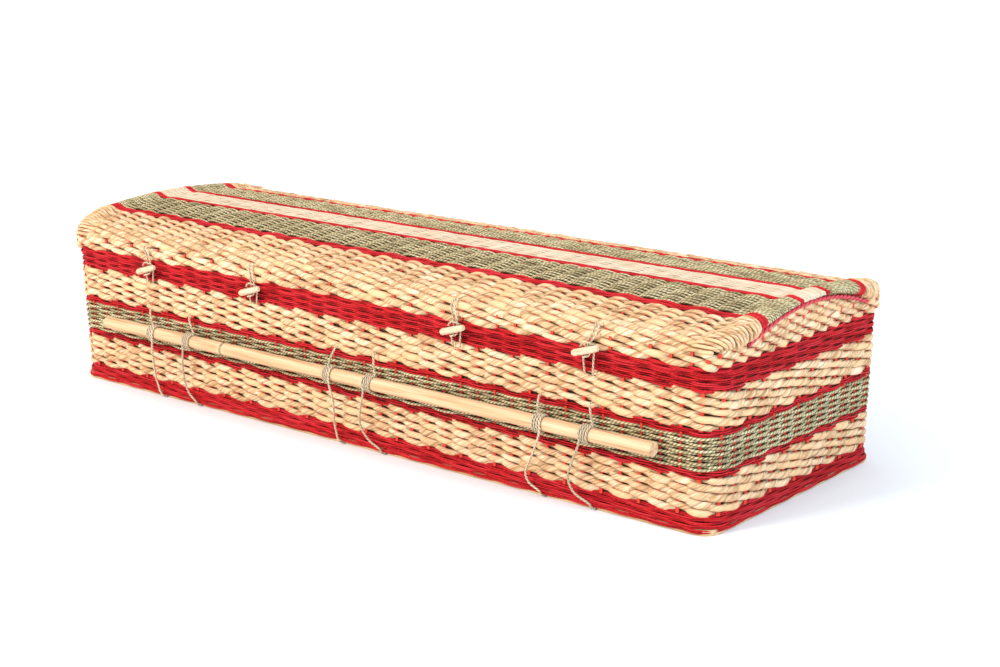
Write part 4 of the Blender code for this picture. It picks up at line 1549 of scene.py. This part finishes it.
@dataclass
class Ties:
    """Wooden pegs with the lid's cords and the basket's loops, on one long side. Sizes are in metres."""

    loom: Loom
    side: Side
    peg_radius: float = 0.0072
    peg_length: float = 0.068
    tilt: float = math.radians(17)
    peg_y: float = -0.3512
    cord_radius: float = 0.00225
    orbit: float = 0.0124
    loop_foot_y: float = -0.3362
    loop_foot_z: float = 0.2885
    apart: float = 0.0045

    def shoulder(self, x: float, z: float) -> list[tuple[float, float, float]]:
        """Points of a lid cord from its leaf row over the shoulder."""
        gap, lift = 0.0015, 0.0012
        stand = gap + self.cord_radius + lift
        start = math.asin((z - LID_SPRING) / (LID_RISE + stand))
        points = []
        for share in (1.0, 0.5, 0.0):
            reach = stand + lift * (1 - share)
            angle = start * share
            points.append((x, -(LID_HALF_WIDTH + reach) * math.cos(angle),
                           LID_SPRING + (LID_RISE + reach) * math.sin(angle)))
        return points

    def beside(self, peg: tuple[float, float], offset: float, degrees: float,
               orbit: float | None = None) -> tuple[float, float, float]:
        """Point beside a tilted peg; 0 degrees faces the wall and 90 faces up."""
        angle = math.radians(degrees)
        reach = orbit or self.orbit
        axis_z = peg[1] + offset * math.tan(self.tilt)
        return peg[0] + offset, self.peg_y + reach * math.cos(angle), axis_z + reach * math.sin(angle)

    def lid_cord(self, toggle: TogglePlace) -> list[tuple[float, float, float]]:
        """Route of a lid cord: down behind the peg, under it and back up."""
        peg = toggle.peg
        halves = []
        for way in (-1, 1):
            half = self.shoulder(toggle.start[0] + way * self.apart, toggle.start[1])
            half += [
                (peg[0] + way * self.apart, -0.3412, max(peg[1] + 0.0140, 0.3520)),
                self.beside(peg, way * self.apart, 15),
                self.beside(peg, way * self.apart, -25),
                self.beside(peg, way * 0.0066, -70),
            ]
            halves.append(half)
        return halves[0] + [self.beside(peg, 0.0, -108, self.orbit + 0.0005)] + halves[1][::-1]

    def base_loop(self, toggle: TogglePlace) -> list[tuple[float, float, float]]:
        """Route of a basket loop: up behind the peg, over the front of it and back down."""
        peg = toggle.peg
        halves = []
        for way in (-1, 1):
            halves.append([
                (peg[0] + way * 0.0095, self.loop_foot_y, self.loop_foot_z),
                (peg[0] + way * 0.0105, self.loop_foot_y - 0.0020, self.loop_foot_z + 0.007),
                self.beside(peg, way * 0.0140, -20),
                self.beside(peg, way * 0.0145, 25),
                self.beside(peg, way * 0.0125, 75),
            ])
        return halves[0] + [(peg[0], self.peg_y - 0.0010, peg[1] + 0.0185)] + halves[1][::-1]

    def peg(self, toggle: TogglePlace) -> None:
        """Whittled peg with uneven facets and cut ends."""
        draw = random.Random(50 + int(toggle.name) + self.side.value)
        along = Vector((math.cos(self.tilt), 0.0, math.sin(self.tilt)))
        stations = []
        profile = ((0.0, 0.45), (0.03, 0.78), (0.09, 0.95), (0.25, 1.0), (0.42, 0.96), (0.60, 1.0),
                   (0.78, 0.97), (0.93, 0.90), (0.985, 0.80), (1.0, 0.62))
        middle = Vector((toggle.peg[0], self.peg_y, toggle.peg[1]))
        out = Vector((0.0, -1.0, 0.0))
        for share, girth in profile:
            wobble = 1 + 0.05 * draw.uniform(-1, 1)
            centre = middle + along * (share - 0.5) * self.peg_length
            radius = self.peg_radius * girth * wobble
            stations.append(Station(self.side.place(centre), self.side.place(out),
                                    self.side.place(out.cross(along)), radius * 1.03, radius * 0.97, 0.0,
                                    share * self.peg_length + int(toggle.name), 0.4 + 0.2 * draw.random()))
        name = f"toggle_{self.side.label}_{toggle.name}"
        self.loom.piece(name + "_peg", Strands([stations]), PEG_YARN, name)

    def dress(self) -> None:
        """Make every peg with its cord and its loop."""
        for toggle in TOGGLES:
            self.peg(toggle)
            for label, route in (("lid_cord", self.lid_cord(toggle)), ("base_loop", self.base_loop(toggle))):
                placed = tuple(self.side.place(point) for point in route)
                name = f"{label}_{self.side.label}_{toggle.name}"
                FreeCord(name, placed, self.cord_radius).dress(self.loom)


@dataclass
class Studio:
    """Camera at the photograph's angle, a pale floor and soft light. Lengths in metres, angles in degrees."""

    place: Vector = field(default_factory=lambda: Vector((2.867, -3.269, 1.315)))
    yaw: float = 39.59
    pitch: float = 14.43
    roll: float = -0.355
    lens_mm: float = 68.04

    def camera(self) -> None:
        """Aim the camera."""
        yaw, pitch, roll = (math.radians(value) for value in (self.yaw, self.pitch, self.roll))
        ahead = Vector((-math.sin(yaw) * math.cos(pitch), math.cos(yaw) * math.cos(pitch), -math.sin(pitch)))
        level = Vector((math.cos(yaw), math.sin(yaw), 0.0))
        upright = level.cross(ahead)
        right = level * math.cos(roll) + upright * math.sin(roll)
        up = upright * math.cos(roll) - level * math.sin(roll)
        lens = bpy.data.cameras.new("camera")
        lens.lens = self.lens_mm
        item = bpy.data.objects.new("camera", lens)
        bpy.context.collection.objects.link(item)
        turn = Matrix((right, up, -ahead)).transposed().to_4x4()
        item.matrix_world = Matrix.Translation(self.place) @ turn
        bpy.context.scene.camera = item

    def floor(self) -> None:
        """Lay a pale floor whose glow grows away from the coffin, to stay as white as the backdrop."""
        form = bmesh.new()
        bmesh.ops.create_grid(form, x_segments=1, y_segments=1, size=30.0)
        shades = Shades("studio floor")
        shades.shader.inputs["Base Color"].default_value = (0.80, 0.80, 0.80, 1.0)
        shades.shader.inputs["Roughness"].default_value = 0.9
        shades.shader.inputs["Emission Color"].default_value = (1.0, 1.0, 1.0, 1.0)
        place = shades.stretched(shades.object_place(), (0.6, 1.0, 1.0))
        away = shades.node("ShaderNodeVectorMath", {0: place}, operation="LENGTH").outputs["Value"]
        glow = shades.out("ShaderNodeMapRange", {
            "Value": away, "From Min": 0.5, "From Max": 1.5, "To Min": 0.05, "To Max": 0.62})
        shades.tree.links.new(glow, shades.shader.inputs["Emission Strength"])
        item = finish_form("studio_floor", form, shades.material)
        for vertex in item.data.vertices:
            vertex.co.z = -0.0005

    def light(self, name: str, place: Sequence[float], aim: Sequence[float], size: float, power: float,
              colour: Colour = (1.0, 1.0, 1.0)) -> None:
        """Hang one soft square light."""
        data = bpy.data.lights.new(name, "AREA")
        data.color = colour
        data.size = size
        data.energy = power
        item = bpy.data.objects.new(name, data)
        bpy.context.collection.objects.link(item)
        item.location = place
        item.rotation_euler = (Vector(aim) - Vector(place)).to_track_quat("-Z", "Y").to_euler()

    def build(self) -> None:
        """Set up the whole studio."""
        self.camera()
        self.floor()
        world = bpy.data.worlds.new("studio")
        world.use_nodes = True
        background = world.node_tree.nodes["Background"]
        background.inputs[0].default_value = (1.0, 1.0, 1.0, 1.0)
        background.inputs[1].default_value = 0.62
        bpy.context.scene.world = world
        bpy.context.scene.view_settings.view_transform = "Standard"
        self.light("key", (-1.0, -4.2, 3.0), (0.0, 0.0, 0.2), 1.8, 230.0)
        self.light("end", (4.6, -0.6, 2.4), (0.7, 0.0, 0.2), 1.8, 172.0, (0.54, 0.77, 1.0))
        self.light("top", (0.0, 0.8, 4.2), (0.0, 0.0, 0.3), 2.5, 26.0)


def main() -> None:
    """Build the studio and dress the coffin from the handles inwards."""
    logging.basicConfig(level=logging.INFO, format="%(message)s")
    Studio().build()
    loom = Loom(Sweep(), Palette())
    for side in Side:
        Handle(loom, side).dress()
        Ties(loom, side).dress()
    Basket(loom).dress()
    Lid(loom).dress()


if __name__ == "__main__":
    main()
